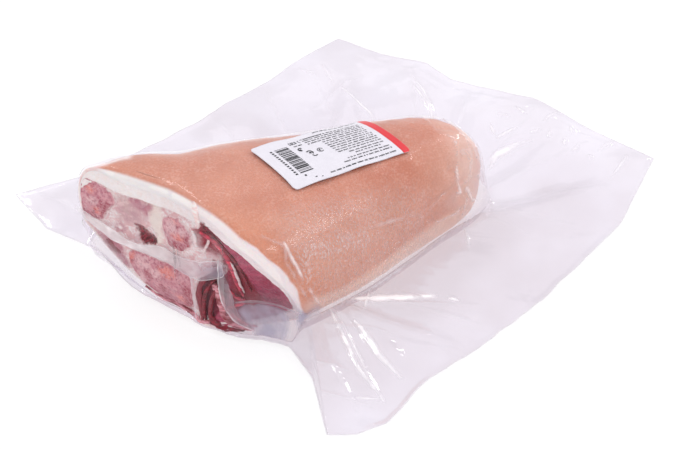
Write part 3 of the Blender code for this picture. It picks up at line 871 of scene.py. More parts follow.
FACE_HEART = (8.0, 38.0)
FACE_PLAY = 1.7            # the sawn face lies this far behind the saw plane, for film and relief
VESSEL = (42.0, 41.5, 2.2) # cut vessel beside the upper bone: middle y and z, radius
FACE_ROUND = 480
FACE_RINGS = 130
FAT_WIDTH = (              # width of the fat under the rind, by direction from the face's heart in degrees
    (-130, 0.4), (-88, 0.6), (-66, 2.5), (-52, 9.5), (-20, 9), (0, 8), (30, 8), (55, 9), (78, 8), (95, 6.2),
    (118, 5), (133, 0.8), (180, 0.4),
)
FACE_REGIONS = {           # corners on the sawn face, y and z
    "lean": ((-8, 65), (-21, 67), (-32, 62), (-46, 56), (-56, 44), (-56, 4), (-7, 2), (-5.5, 18), (-5, 27),
        (-13, 30), (-17, 38), (-14, 46), (-7, 52), (-5, 60)),
    "deep": ((-4, 61), (-14, 63), (-24, 51), (-28, 38), (-30, 16), (-21, 14), (-18, 34), (-14, 46),
        (-6, 51)),
    "dusk": ((-8, 66), (-24, 67), (-40, 60), (-34, 56), (-22, 59), (-12, 60)),
    "pale": ((27, 70), (17, 70), (15.5, 56), (18, 40), (22, 38), (23.5, 52)),
    "tan": ((42, 64), (34, 65), (28, 58), (31, 48), (42, 45)),
    "mauve": ((35, 65), (31, 66), (27.5, 63), (23, 66), (21.5, 63), (25, 56), (29, 57.5), (33, 60)),
    "blood": ((33, 46.5), (30, 47), (29, 43), (24, 42), (22, 41), (22.5, 37.5), (27, 36.5), (32, 37),
        (33, 42)),
    "seam": ((-4.5, 29), (-15, 29.5), (-17, 18), (-16, 5), (-8, 2), (-6, 18)),
    "scrap": ((56, 33), (43, 31), (38, 16), (45, 14), (55, 22)),
}
FACE_OVALS = {             # parts of those regions: middle y and z, half widths
    "tan": ((10, 34, 9, 3.5),),
    "blood": ((-12, 27, 1.6, 8), (-9.4, 62.5, 1.3, 3.6)),
}


def within_meat(y, z, inset):
    """Whether points of the saw plane lie inside the meat's section there, drawn in by an inset."""
    x = saw_plane(y, z)
    section = sections(x)
    ridge, wide = section[2], section[4]
    half_width, half_height, power = quarter(section, x, y > ridge, z > wide, True)
    return superellipse(y - ridge, z - wide, half_width - inset, half_height - inset, power) < 1


def face_edge(angle):
    """Distance from the face's heart to the start of the rolled rim in each direction."""
    toward_y, toward_z = -np.sin(angle), np.cos(angle)
    start, far = np.zeros(angle.shape), np.full(angle.shape, 110.0)

    def place(d):
        return FACE_HEART[0] + d * toward_y, FACE_HEART[1] + d * toward_z

    radius = rim_radius(*place(crossing(lambda d: within_meat(*place(d), FILM_PLAY), start, far)))
    return crossing(lambda d: within_meat(*place(d), FILM_PLAY + radius * 0.86), start, far)


def face_regions(y, z):
    """How far each point of the sawn face lies inside each of its regions, and inside the muscles' seam."""
    regions = {name: inside_shape(y, z, corners) for name, corners in FACE_REGIONS.items()}
    for name, ovals in FACE_OVALS.items():
        regions[name] = np.maximum.reduce([regions[name], *(inside_oval(y, z, *oval) for oval in ovals)])
    seam, scrap = regions.pop("seam"), regions.pop("scrap")
    vessel = 0.8 - 1.3 * np.abs(VESSEL[2] - np.hypot(y - VESSEL[0], z - VESSEL[1]))
    regions["dusk"] = np.maximum(regions["dusk"], seam)
    regions["mauve"] = np.maximum.reduce((regions["mauve"], scrap, vessel))
    return regions, seam


def build_sawn_face(look):
    """Sawn face: rings from its heart out to the rind, on the saw plane, with each region's own relief.

    Fat bulges, lean meat is drawn back and grained, and blood and the seam between muscles are hollows.
    """
    angle = np.linspace(-math.pi, math.pi, FACE_ROUND, endpoint=False)
    edge = face_edge(angle)
    reach = edge[None] * np.linspace(0, 1, FACE_RINGS + 1)[1:, None] ** 0.9
    y = FACE_HEART[0] - reach * np.sin(angle)
    z = FACE_HEART[1] + reach * np.cos(angle)
    rim = inside_shape(y, z, list(zip(y[-1, ::4], z[-1, ::4])))
    bearing, width = np.array(FAT_WIDTH).T
    width = np.interp(np.degrees(angle), bearing, width)[None]
    regions, seam = face_regions(y, z)
    regions["fat"] = width - rim
    regions["rim"] = np.where(width > 4, rim, 9)
    ease = {name: rises(regions[name], -0.8, 1.8) for name in ("fat", "lean", "pale", "deep")}
    blood = rises(regions["blood"], 0.6, 1.8)
    flat = np.stack((y, z, 0 * y), axis=-1)
    out = 0.30 * noise(flat, 5, 3, 5) + 0.12 * noise(flat, 1.3, 2, 8)
    out += 0.9 * ease["fat"] - 0.5 * ease["lean"] + 0.5 * ease["pale"] - 1.8 * blood - 1.4 * ease["deep"]
    out -= 2.6 * rises(seam, -1, 3)
    for name in ("lean", "fat"):
        out -= 0.9 * np.exp(-(regions[name] / 0.9) ** 2) * (rim > 1.5)
    out -= 0.6 * ease["lean"] * crumple(flat * (1, 0.45, 1), 7, 2, 4)
    out = np.minimum(out, FACE_PLAY - 0.6) * rises(rim, 0.4, 1.6)
    out += (FACE_PLAY - FILM_PLAY - 0.12) * (1 - smooth(rim / 2.4))
    grid = np.stack((saw_plane(y, z) + FACE_PLAY - out, y, z), axis=-1)
    points, quads = capped(grid, first=(grid[0, :, 0].mean(), *FACE_HEART), flip=True)
    regions["pink_rim"] = falls(y, 6, 18)
    values = {name: np.append(inward, inward[0].mean()) for name, inward in regions.items()}
    return laid("sawn_face", points, quads, make_flesh_material(look), attributes=values)


BONE_ROUND = 300
BONE_RINGS = 90
BONES = {                  # corners on the sawn face, and how far the bone stands out of it
    "upper_bone": (((66, 70), (52, 70), (43, 66), (40, 60), (45, 52), (50, 43), (62, 40), (67, 50)), 1),
    "joint_bone": (((16, 60), (11, 64), (4, 65), (-1, 62), (-4, 57), (-4, 50), (2, 42), (12, 41),
        (15.5, 48)), 1.1),
    "lower_bone": (((38, 30), (38, 23), (34, 14), (29, 5), (22, 2.5), (7, 2.5), (-3, 6), (-5, 18),
        (-2.5, 29), (8, 30.5), (24, 31)), 1.15),
}


BONE_SPOTS = {             # ovals on each bone end, y, z and half widths: dark, warm and light ones
    "upper_bone": (((65, 58, 4, 11), (46, 50, 4.5, 9)), ((55, 63, 3.5, 3), (52, 50, 2.5, 3)),
        ((54, 56, 4, 3),)),
    "joint_bone": (((5, 44, 9, 5.5), (-1.5, 51, 2.5, 5)), ((4, 53, 5, 3.5), (7, 61, 4, 2.5)),
        ((8, 58, 5, 5), (1, 57.5, 3, 3))),
    "lower_bone": (((0, 12, 5, 9), (17, 10, 3.5, 3.5), (24, 17, 3, 3)), ((35, 25, 3, 4), (13, 24, 6, 4),
        (6, 9, 4, 3)), ((28, 24, 6, 5), (20, 20, 5, 4), (30, 12, 4, 5))),
}


def build_bones(look):
    """Bone ends: pads on the sawn face, rings from the middle to a softened outline, domed and pitted."""
    material = make_bone_material(look)
    angle = np.linspace(0, TURN, BONE_ROUND, endpoint=False)
    share = np.linspace(0, 1, BONE_RINGS + 1)[1:, None]
    kernel = np.hanning(25) / np.hanning(25).sum()
    pieces = []
    for number, (name, (corners, stand)) in enumerate(BONES.items()):
        middle = np.mean(np.array(corners), axis=0)

        def place(d):
            return middle[0] + d * np.cos(angle), middle[1] + d * np.sin(angle)

        def within(d):
            y, z = place(d)
            return (inside_shape(y, z, corners) > 0) & within_meat(y, z, FILM_PLAY + RIM_RADIUS[0])

        start = np.zeros(BONE_ROUND)
        edge = crossing(within, start, start + 60, 20)
        edge = np.convolve(np.concatenate((edge[-12:], edge, edge[:12])), kernel, "valid")
        y, z = place(edge * share)
        inward = edge[None] * (1 - share)
        flat = np.stack((y, z, 0 * y + 9 * number), axis=-1)
        pits = 0.35 * noise(flat, 2.2, 3, 30 + number) + 0.3 * noise(flat, 7, 2, 40)
        wall = np.exp(-((inward - 1.3) / 0.9) ** 2)
        out = -0.9 + smooth(inward / 1.4) * (stand + 0.7 + 0.25 * wall)
        out += pits * smooth(inward / 2.5)
        out = np.minimum(out, FACE_PLAY - 0.35)
        grid = np.stack((saw_plane(y, z) + FACE_PLAY - out, y, z), axis=-1)
        points, quads = capped(grid, first=(grid[0, :, 0].mean(), *middle), flip=True)
        spots = {kind: np.maximum.reduce([inside_oval(points[:, 1], points[:, 2], *oval) for oval in ovals])
                 for kind, ovals in zip(("dark", "warm", "light"), BONE_SPOTS[name])}
        spots["inward"] = np.append(inward, edge.mean())
        pieces.append(laid(name, points, quads, material, attributes=spots))
    return pieces


STRIPS = {                 # path: y, z, depth of its middle; half width, half thickness, finish
    "brown_fold_1": (((-11, 34, 1.6), (-7.5, 28.5, 0.6), (-5.6, 22, 0.5), (-6.4, 13, 0.4), (-11, 4, 0.8)),
        1.9, 1.6, "fold"),
    "brown_fold_2": (((-13, 33, 1.8), (-10.4, 27, 1), (-8.6, 19, 0.8), (-9.6, 10, 0.8), (-13.5, 4, 1.2)),
        1.2, 1.4, "dark"),
    "brown_fold_3": (((-14.5, 31, 1.8), (-12.8, 25, 1.1), (-11.6, 17, 0.8), (-13.4, 9, 0.8),
        (-17.5, 4, 1.2)), 1.5, 1.6, "fold"),
    "crimson_strip": (((-7, 60, 1.2), (-13, 57, 0.6), (-19, 51, 0.5), (-21.5, 43, 0.6), (-22, 33, 0.6),
        (-24, 22, 1)), 1.5, 1.3, "red"),
    "crimson_strip_2": (((-10, 61, 1.6), (-17, 57, 1.2), (-24, 49, 1.2), (-26, 38, 1.2), (-27, 26, 1.6)), 1,
        0.9, "dark"),
    "crimson_bend": (((-18, 25, 0.9), (-21.5, 21.5, 0.2), (-24.5, 19, 0.2), (-22.5, 16.5, 0.2),
        (-20, 14.5, 0.9)), 1.2, 1.1, "red"),
    "sinew_long": (((-22, 47, 1.2), (-23.5, 40, 0.6), (-23.8, 32, 0.6), (-24.5, 25, 1.2)), 0.9, 0.7,
        "white"),
    "foot_strip_1": (((31, 4.5, 1.2), (18, 1.8, -0.4), (4, 1.6, -0.6), (-8, 2.6, -0.4), (-16, 5, 0.6)), 1.9,
        1.7, "salmon"),
    "foot_strip_2": (((-10.5, 26, 1.6), (-14.5, 18, 0.5), (-19.6, 10.5, 0.3), (-25, 4.5, 0.5),
        (-29, 1, 1.2)), 3.5, 2.5, "salmon"),
    "foot_strip_3": (((-13, 8, 1.5), (-17, 5, 0.9), (-22, 2.6, 0.9), (-27, 1.6, 1.4)), 2.2, 2, "dark"),
    "foot_strip_4": (((-15, 21, 1.2), (-20, 13.5, 0.2), (-26, 7, 0.2), (-30, 3, 1)), 1.1, 1.2, "red"),
    "scrap_of_meat": (((55, 33, 1.6), (49, 26, 1.2), (43, 20, 1.4), (40, 16, 2)), 4.2, 1.3, "fold"),
    "sinew_1": (((-2, 61, 1.2), (-4.5, 57, 0.6), (-5, 52, 0.6), (-6.5, 47, 1.2)), 1.2, 0.9, "white"),
    "sinew_2": (((-11.5, 59, 1.4), (-10.5, 54, 0.8), (-9, 50, 0.8), (-8, 46, 1.2)), 1, 0.8, "white"),
    "fat_flap": (((-3.4, 78, 0.8), (-5.6, 74, -0.5), (-6.8, 69, -0.6), (-6.6, 63, 0.2)), 2.3, 1.8, "white"),
}


STRIP_FINISHES = {         # material's name, darker colour, brighter colour, shine
    "red": ("wet_red_strip", "lean_dark", "strip_red", 0.7),
    "dark": ("dark_red_fold", "blood", "lean_wet", 0.6),
    "fold": ("brown_fold", "marrow_dark", "fold_brown", 0.5),
    "salmon": ("salmon_strip", "fold_brown", "strip_salmon", 0.6),
    "white": ("sinew_white", "fat_pink", "fat_white", 0.5),
}
OUT_OF_FACE = (-1.0, -0.35, 0.12)


def wobble_along(share, waves, number, seed):
    """Noise along a path with so many waves from end to end, and another course for each number."""
    points = np.stack((share * waves, share * 0 + number, share * 0), axis=-1)
    return noise(points, 1, 2, seed)


def build_strips(look):
    """Loose strips: flattened tubes along paths on the sawn face, tapered by half a sine, and lumpy."""
    materials = {}
    for kind, (name, dark, bright, shine) in STRIP_FINISHES.items():
        dark, bright = tuple(getattr(look, dark)), tuple(getattr(look, bright))
        materials[kind] = make_strip_material(name, dark, bright, shine)
    pieces = []
    for number, (name, (corners, half_width, half_thick, kind)) in enumerate(STRIPS.items()):
        y, z, sunk = eased_path(corners, 90).T
        share = np.linspace(0, 1, len(y))
        taper = np.maximum(np.sin(math.pi * (0.04 + 0.92 * share)), 0) ** 0.45
        wander = wobble_along(share, 9, number, 50)
        spine = np.stack((saw_plane(y, z) + 0.55 + 0.9 * half_thick * taper + sunk, y, z), axis=1)
        out = np.tile(OUT_OF_FACE, (len(y), 1))
        tube = tube_points(spine, half_width * taper * (1 + 0.25 * wander), half_thick * taper, out, 28)
        tube += 0.35 * noise(tube, 3.0, 3, 60 + number)[..., None] * np.array((0.6, 0.5, 0.6))
        tube[..., 0] = np.maximum(tube[..., 0], saw_plane(tube[..., 1], tube[..., 2]) + 0.05)
        tube[..., 2] = np.maximum(tube[..., 2], 0.8)
        points, quads = capped(tube, tube[0].mean(axis=0), tube[-1].mean(axis=0))
        pieces.append(laid(name, points, quads, materials[kind]))
    return pieces


# ------------------------------------ film
FILM_ROUND = 640
FILM_ROWS = 152
SKIRT_ROUND = 900
SKIRT_ROWS = 108
UNDER_ROWS = 60
BEAD_SIDES = 6
# The whiteness is a white line of painted highlight along each crease.
FILM_CREASES = (           # corners on the drawn film, height, half width, whiteness
    (((-62, -41, 63), (-60, -47, 55), (-56, -51, 43), (-50, -51, 30), (-45, -50, 20), (-40, -47, 9)), 1.4,
         1.2, 0.9),
    (((-72, -36, 68), (-62, -42, 62), (-64, -48, 56), (-60, -50, 44), (-53, -51, 27)), 0.7, 1.3, 0.45),
    (((70, -3, 60), (66, -10, 56), (63, -15, 51), (63, -18, 44), (64, -18, 36)), 1, 1.4, 0.8),
    (((33, -29, 38), (41, -25, 41), (49, -22, 43), (56, -21, 40), (64, -18, 36)), 1, 1.4, 0.7),
    (((32, -29, 37), (46, -24, 26), (61, -19, 23), (70, -17, 27)), 0.8, 1.4, 0.4),
    (((26, -28, 51), (28, -30, 43), (31, -29, 39)), 0.8, 1.3, 0.45),
    (((-9, -39, 52), (8, -35, 48), (28, -30, 41), (41, -25, 26)), 0.7, 1.4, 0.4),
    (((70, -16, 36), (76, -14, 24), (84, -9, 18)), 1, 1.5, 0.7),
    (((-25, -43, 53), (-21, -44, 46)), 0.6, 1.8, 0.5),
    (((34, -12, 65), (34, -24, 52), (32, -28, 41)), 0.7, 2.2, 0.12),
    (((64, 24, 64), (62, 4, 64), (71, 0, 60)), 0.9, 1.6, 0.3),
    (((76, 20, 60), (78, 5, 59), (82, -6, 47), (90, -3, 29), (84, -9, 22)), 1.2, 1.4, 0.6),
    (((86, 12, 50), (92, 6, 34)), 1.1, 1.4, 0.45),
    (((-2, -38, 50), (23, -31, 44), (34, -28, 36)), 0.8, 1.4, 0.35),
    (((72, -15, 33), (66, -17, 16)), 1, 1.2, 0.5), (((-24, -41, 55), (-15, -43, 41)), 0.8, 2.2, 0.25),
    (((-95, -8, 78), (-86, -30, 70), (-73, -42, 63)), 0.8, 1.2, 0.1),
    (((-130, 66, 62), (-142, 92, 38)), 1.6, 1.6, 0.25), (((-128, 62, 74), (-145, 110, 30)), 1.3, 1.8, 0.25),
    (((-134, 60, 44), (-134, 68, 24)), 1.2, 1.4, 0.3), (((-128, 56, 34), (-122, 52, 10)), 1.2, 1.4, 0.3),
    (((-120, 44, 28), (-106, 26, 5)), 1.2, 1.6, 0.35), (((-88, -20, 40), (-84, -26, 14)), 1.2, 1.2, 0.1),
    (((-80, -34, 30), (-72, -48, 8)), 1.2, 1.4, 0.3), (((-72, -36, 40), (-60, -52, 12)), 0.8, 1.2, 0.15),
)
# The whiteness is a white line of painted highlight along each crease.
FLAP_CREASES = (           # corners in plan on the spare film, height, half width, whiteness
    (((-39, -44), (-41, -55), (-44, -73), (-47, -90), (-46, -105), (-46, -115)), 1.3, 1.6, 1.2),
    (((-38, -50), (-41, -74), (-44, -91), (-45, -111)), 0.9, 1, 0.9),
    (((-33, -62), (-32, -78), (-32, -88), (-29, -105)), 1, 1.8, 1.3),
    (((-25, -45), (-16, -49), (-4, -54), (18, -63)), 1, 3.4, 1.5),
    (((-21, -54), (-16, -49), (-12, -44)), 0.6, 1.4, 1.1), (((24, -68), (28, -72)), 0.8, 1.6, 1),
    (((-58, -108), (-47, -113)), 0.8, 1.2, 0.8), (((-50, -52), (8, -103)), 1.6, 1.6, 0.1),
    (((-54, -54), (-62, -118)), 1.4, 1.6, 0.15), (((-28, -46), (38, -80)), 0.9, 1.4, 0.1),
    (((-10, -50), (30, -92)), 0.8, 1.4, 0.12), (((66, -21), (65, -23), (59, -37)), 1.2, 1.2, 0.95),
    (((76, -14), (96, -44)), 1.1, 1.5, 0.15), (((80, -14), (124, -48)), 1.2, 1.8, 0.12),
    (((90, -6), (160, -36)), 0.9, 2, 0.12), (((86, 6), (94, -4), (93, -13)), 1.2, 1.4, 0.55),
    (((100, 9), (93, -13)), 1, 1.2, 0.45),
    (((113, 23), (120, 28), (127, 28), (136, 27), (143, 24)), 1, 3, 1),
    (((159, 32), (173, 33)), 1.2, 1.6, 0.8), (((167, 13), (170, 17)), 1.2, 1.6, 0.8),
    (((160, 10), (157, 7)), 1.2, 1.6, 0.85), (((159, 0), (165, 1)), 1.2, 1.6, 0.8),
    (((153, 52), (154, 42)), 1.2, 1.4, 0.7), (((140, 53), (145, 48)), 1.2, 1.5, 0.75),
    (((132, 50), (130, 42)), 1.2, 1.4, 0.7), (((130, 39), (143, 37)), 1.2, 1.5, 0.8),
    (((148, 29), (153, 27)), 1.2, 1.6, 0.8), (((157, 22), (154, 18)), 1.2, 1.6, 0.8),
    (((109, 104), (107, 89), (106, 75)), 1.2, 1.6, 0.8), (((166, -8), (166, -12)), 1.2, 1.6, 0.7),
    (((174, -7), (188, -5)), 1.2, 1.5, 0.6), (((167, -30), (184, -20)), 1.1, 1.4, 0.65),
    (((69, 124), (70, 95), (62, 74)), 1.5, 1.5, 0.85), (((113, 112), (111, 93), (100, 66)), 1.5, 1.5, 0.85),
    (((70, 154), (68, 135)), 1.2, 1.4, 0.7), (((54, 160), (62, 144)), 1.2, 1.2, 0.55),
    (((127, 135), (135, 121)), 1.2, 1.4, 0.6), (((96, 6), (172, 2)), 1, 1.8, 0.1),
    (((94, 20), (160, 42)), 1.2, 1.8, 0.15), (((88, 34), (136, 78)), 1.4, 1.8, 0.18),
    (((76, 48), (118, 120)), 1.3, 1.7, 0.15), (((40, 66), (62, 160)), 1.2, 1.8, 0.15),
    (((10, 72), (26, 150)), 1.1, 1.8, 0.18), (((-20, 78), (-16, 134)), 1.1, 1.7, 0.15),
    (((-60, 82), (-70, 124)), 1.2, 1.7, 0.15), (((-100, 84), (-118, 120)), 1.4, 1.6, 0.2),
    (((-122, 80), (-140, 122)), 1.6, 1.6, 0.2), (((44, 120), (88, 132)), 0.9, 1.6, 0.2),
    (((-70, -70), (-52, -92)), 0.9, 1.3, 0.15), (((-74, -96), (-54, -116)), 1, 1.4, 0.2),
)
POCKET_REGION = (          # milky film at the lean meat's foot, y and z
    (-29.5, 19), (-32, 25), (-38, 27), (-44, 27), (-49, 25), (-50.5, 16), (-48, 2), (-44, -6), (-37, -4),
    (-34, 6), (-31.5, 13),
)
# Along these lines white specks are painted on as glints, with a faint haze.
FROST_AND_GLINTS = (                  # lines in space where the film only half touches the rind, and how far it shows
    ((-48, -45, 56), (-14, -41, 48), 7.0), ((-54, -46, 58), (-53, -50, 44), 5.5),
)
BLOOM = ((66, -12, 52), (60, -20, 38), 9.0)   # faint haze by the narrow end: its line, and its reach
FOOT_REGION = (            # hazy film at the foot of the face's back, y and z
    (62, 30), (52, 34), (40, 26), (32, 10), (34, 0), (60, 0),
)
SEAL_INSET = (7.0, 12.0)   # the welded band lies between these distances in from the rim
SEAL_BEARINGS = (-8.0, 52.0)
DRAWN_BEARINGS = (170.0, 240.0)
DRAWN_IN = 2.4             # how far the free edge is drawn in between those bearings
EDGE_ROOM = 3.0            # the least width of spare film
TUCK_HEIGHT = 12.0         # along the front the film follows the meat's underside down to this height
TUCK_BEARINGS = (236.0, 353.0)
TUCK_GAP = 0.7
UNDERSIDE_RINGS = (        # toward the heart: share of the foot's radius, share of its height
    (0.985, 0.55), (0.95, 0.25), (0.90, 0.0), (0.6, 0.0), (0.3, 0.0),
)


def bearings_of(count):
    return np.arange(count) * 2 * math.pi / count


def outline_polar(bearings):
    """Free edge's radius and height along each bearing, straight between the outline's points, and wavy."""
    corners = np.array(POUCH_OUTLINE)
    t = np.linspace(0, 1, 60, endpoint=False)[None, :, None]
    edge = (corners[:, None] * (1 - t) + np.roll(corners, -1, axis=0)[:, None] * t).reshape(-1, 3)
    off_x, off_y = edge[:, 0] - HEART[0], edge[:, 1] - HEART[1]
    angle = np.arctan2(off_y, off_x) % TURN
    around = np.stack((np.cos(bearings) * 9, np.sin(bearings) * 9, 0 * bearings), axis=-1)
    wave = 1.1 * noise(around, 1, 3, 70)
    height = read_round(bearings, angle, edge[:, 2])
    lift = 1.6 * noise(around * 0.6, 1, 2, 74) * rises(height, 6, 14)
    degrees = np.degrees(bearings) % 360
    drawn_in = DRAWN_IN * rises(degrees, DRAWN_BEARINGS[0], 12) * falls(degrees, DRAWN_BEARINGS[1], 10)
    reach = read_round(bearings, angle, np.hypot(off_x, off_y))
    return reach + np.minimum(wave - 0.6, 0) - drawn_in, height + lift


def skirt_foot(bearings):
    """Radius and height of the free edge, then of the drawn film's foot, for any bearings.

    The foot keeps the table's gap from the widest ring of the shank, which is cast closely; along the front
    it is tucked in to the meat's underside.
    """
    cast = np.linspace(0, TURN, 720, endpoint=False)
    radius, height = shank_profile(cast[:, None], np.radians(np.linspace(25, -34, 90))[None, :])
    widest = read_round(bearings, cast, radius.max(axis=1))
    tucked = np.array([np.interp(-TUCK_HEIGHT, -z, r) for r, z in zip(radius, height)])
    tucked = read_round(bearings, cast, tucked) + TUCK_GAP
    edge_radius, edge_height = outline_polar(bearings)
    at, foot_height, gap = np.array(FILM_FOOT).T
    foot_height, gap = (read_round(bearings, np.radians(at), values) for values in (foot_height, gap))
    foot_radius = np.minimum(widest + gap, edge_radius - EDGE_ROOM)
    degrees = np.degrees(bearings) % 360
    tuck = rises(degrees, TUCK_BEARINGS[0], 9) * falls(degrees, TUCK_BEARINGS[1], 14)
    foot_radius = foot_radius + (np.minimum(tucked, foot_radius) - foot_radius) * tuck
    foot_height = foot_height + (TUCK_HEIGHT - foot_height) * tuck
    return edge_radius, edge_height, foot_radius, foot_height


def taut_profile(bearings, foot_radius, foot_height):
    """Film's radius and height down each bearing: on the skin, then straight to the foot as a tangent."""
    foot_radius, foot_height = foot_radius[:, None], foot_height[:, None]
    elevation = np.linspace(math.pi / 2, math.radians(-35), 230)
    radius, height = shank_profile(bearings[:, None], elevation[None, :])
    lean = np.arctan2(radius - foot_radius, np.maximum(height - foot_height, 0.01))
    touch = np.argmax(np.where(height > foot_height + 0.6, lean, -9), axis=1)[:, None]
    k = np.arange(len(elevation))[None, :]
    t = np.clip((k - touch) / (len(elevation) - 1 - touch), 0, 1)
    return [np.where(k > touch, np.take_along_axis(skin, touch, axis=1) * (1 - t) + foot * t, skin)
            for skin, foot in ((radius, foot_radius), (height, foot_height))]


def skirt_lift(x, y):
    """Height of the spare film's broad rounded ridges: a bell across each line, half a sine along it."""
    lift = np.zeros(np.broadcast(x, y).shape)
    for x0, y0, x1, y1, height, half_width in SKIRT_FOLDS:
        off, t = from_line(x, y, x0, y0, x1, y1)
        lift += height * np.exp(-(off / half_width) ** 2) * np.sin(math.pi * np.clip(t, 0.08, 1))
    return lift


def sharp_creases(x, y):
    """Thin creases of the spare film: the height of their pointed ridges, and how white their painted
    highlights are.
    """
    flat = np.stack((x, y, 0 * x), axis=-1)
    shift = noise(flat, 24, 2, 80) * 1.2
    patchy = 0.85 + 0.5 * noise(flat, 5, 2, 84)
    lift = np.zeros(np.broadcast(x, y).shape)
    milk = np.zeros(lift.shape)
    for corners, height, half_width, white in FLAP_CREASES:
        path = eased_path(corners, 24) if len(corners) > 2 else np.array(corners, float)
        nearest, along = np.full(lift.shape, 1e9), np.zeros(lift.shape)
        for k, (start, end) in enumerate(zip(path, path[1:])):
            off, t = from_line(x + shift, y - shift, *start, *end)
            along = np.where(off < nearest, (k + t) / (len(path) - 1), along)
            nearest = np.minimum(nearest, off)
        fading = np.sin(math.pi * np.clip(0.08 + 0.86 * along, 0, 1))
        lift += height * np.exp(-nearest / (half_width + 0.4)) * fading ** 0.6
        # Painted highlight: a white line along the crease.
        milk = np.maximum(milk, white * np.clip(patchy, 0.5, 1) * fading ** 0.4
                          * np.exp(-(nearest / (half_width * (0.45 + 0.35 * fading))) ** 2))
    return lift, milk


def drawn_grid():
    """Drawn film before its creases: taut profiles, each cut into even steps from the crown to the foot."""
    bearings = bearings_of(FILM_ROUND)
    foot_radius, foot_height = skirt_foot(bearings)[2:]
    profiles = taut_profile(bearings, foot_radius, foot_height)
    length = running_length(*profiles)
    stops = np.linspace(0, 1, FILM_ROWS + 1)[1:]
    radius, height = (np.array([np.interp(stops * way[-1], way, row) for way, row in zip(length, rows)]).T
                      for rows in profiles)
    x, y = HEART[0] + radius * np.cos(bearings), HEART[1] + radius * np.sin(bearings)
    return np.stack((x, y, height), axis=-1), stops[:, None]


def speckle(x, y, facing, shade, grid):
    """Where the film shows a pebbled grain and white specks of painted glints: on the front, and most in
    frosted patches.
    """
    pebble = falls(y, -20, 12) * rises(x, -70, 25)
    pebble = (0.12 + 0.88 * pebble * falls(x, 66, 25)) * (1 - facing)
    frost_and_glints = np.maximum(*(1 - from_segment(grid, start, end) / reach for start, end, reach in FROST_AND_GLINTS))
    # The white specks are painted glints; they fade where the painted shade is.
    return 0.62 * pebble * (1 - shade) + 0.65 * smooth(frost_and_glints / 0.7), frost_and_glints


def build_drawn_film(look):
    """Film over the meat: the pouch's skin with taut bridges to its foot, raised along its creases."""
    grid, stops = drawn_grid()
    x, y, z = split(grid)
    off_face = saw_plane(y, z) - x
    sawn = rises(off_face, -5, 4)
    facing = rises(off_face, -7, 3)
    corner = rises(off_face, -15, 7)
    low = falls(z, 20, 16)
    hock = rises(x, 44, 34)
    wrinkle = crumple(grid, 17, 2, 94)
    lift = 0.12 * noise(grid, 16, 2, 90)
    lift += look.crumple * (0.8 * sawn + 0.7 * hock * (1 - sawn) + 0.3 * low) * (wrinkle - 0.45)
    inward = inside_shape(y, z, POCKET_REGION)
    pocket = rises(inward, -0.8, 3) + 0.20 * rises(inward, -11, 11)
    lilac = look.pocket_haze * corner * pocket * (0.92 + 0.45 * noise(grid, 8, 3, 98))
    milk = 0.30 * facing * rises(inside_shape(y, z, FOOT_REGION), -1, 6)
    milk += (0.22 * hock * (1 - facing) + 0.03 * facing) * rises(wrinkle, 0.50, 0.3)
    milk += 0.20 * rises(x, 60, 25) * falls(y, 14, 20)
    milk += 0.10 * np.exp(-(from_segment(grid, *BLOOM[:2]) / BLOOM[2]) ** 2)
    streaky = np.clip(0.8 + 0.6 * noise(grid, 7, 2, 99), 0.2, 1.2)
    # Each crease lifts the film and lays a white line of painted highlight along it.
    for corners, high, half_width, white in FILM_CREASES:
        for start, end in zip(corners, corners[1:]):
            off = from_segment(grid, start, end)
            lift = np.maximum(lift, high * np.exp(-off / half_width))
            milk = np.maximum(milk, white * streaky * np.exp(-(off / (0.75 * half_width * streaky)) ** 2))
    # Painted shade: the tint deepens where the film stands off the meat and low down by its foot, most at
    # the front.
    shade = np.maximum(rises(shank_depth(x, y, z), 1, 5), falls(z, 17, 7) * (1 - facing))
    shade = shade * (0.5 + 0.5 * falls(y, 10, 50))
    pebble, frost_and_glints = speckle(x, y, facing, shade, grid)
    milk = np.maximum(milk, 0.09 * smooth(frost_and_glints / 0.8) * streaky)
    lift = np.clip(lift, -0.15, 1.8) * falls(stops, 1, 0.06)
    grid = grid + outward_normals(grid) * lift[..., None]
    grid[..., 2] = np.maximum(grid[..., 2], 1)
    crown = (*HEART[:2], float(top_height(*np.array(HEART[:2]))))
    points, quads = capped(grid, first=crown)
    film = make_film_material("drawn_film", look, look.drawn_haze, look.milk, (look.tint, look.spare_cloud_and_shade),
                              0.14, 0.10, FILM_MIRROR)
    at_crown = {"milk": 0, "pebble": 0.12, "lilac": 0, "shade": 0}
    marks = {"milk": milk, "pebble": pebble, "lilac": lilac, "shade": shade}
    values = {name: np.append(mark, at_crown[name]) for name, mark in marks.items()}
    return laid("film_over_shank", points, quads, film, attributes=values)


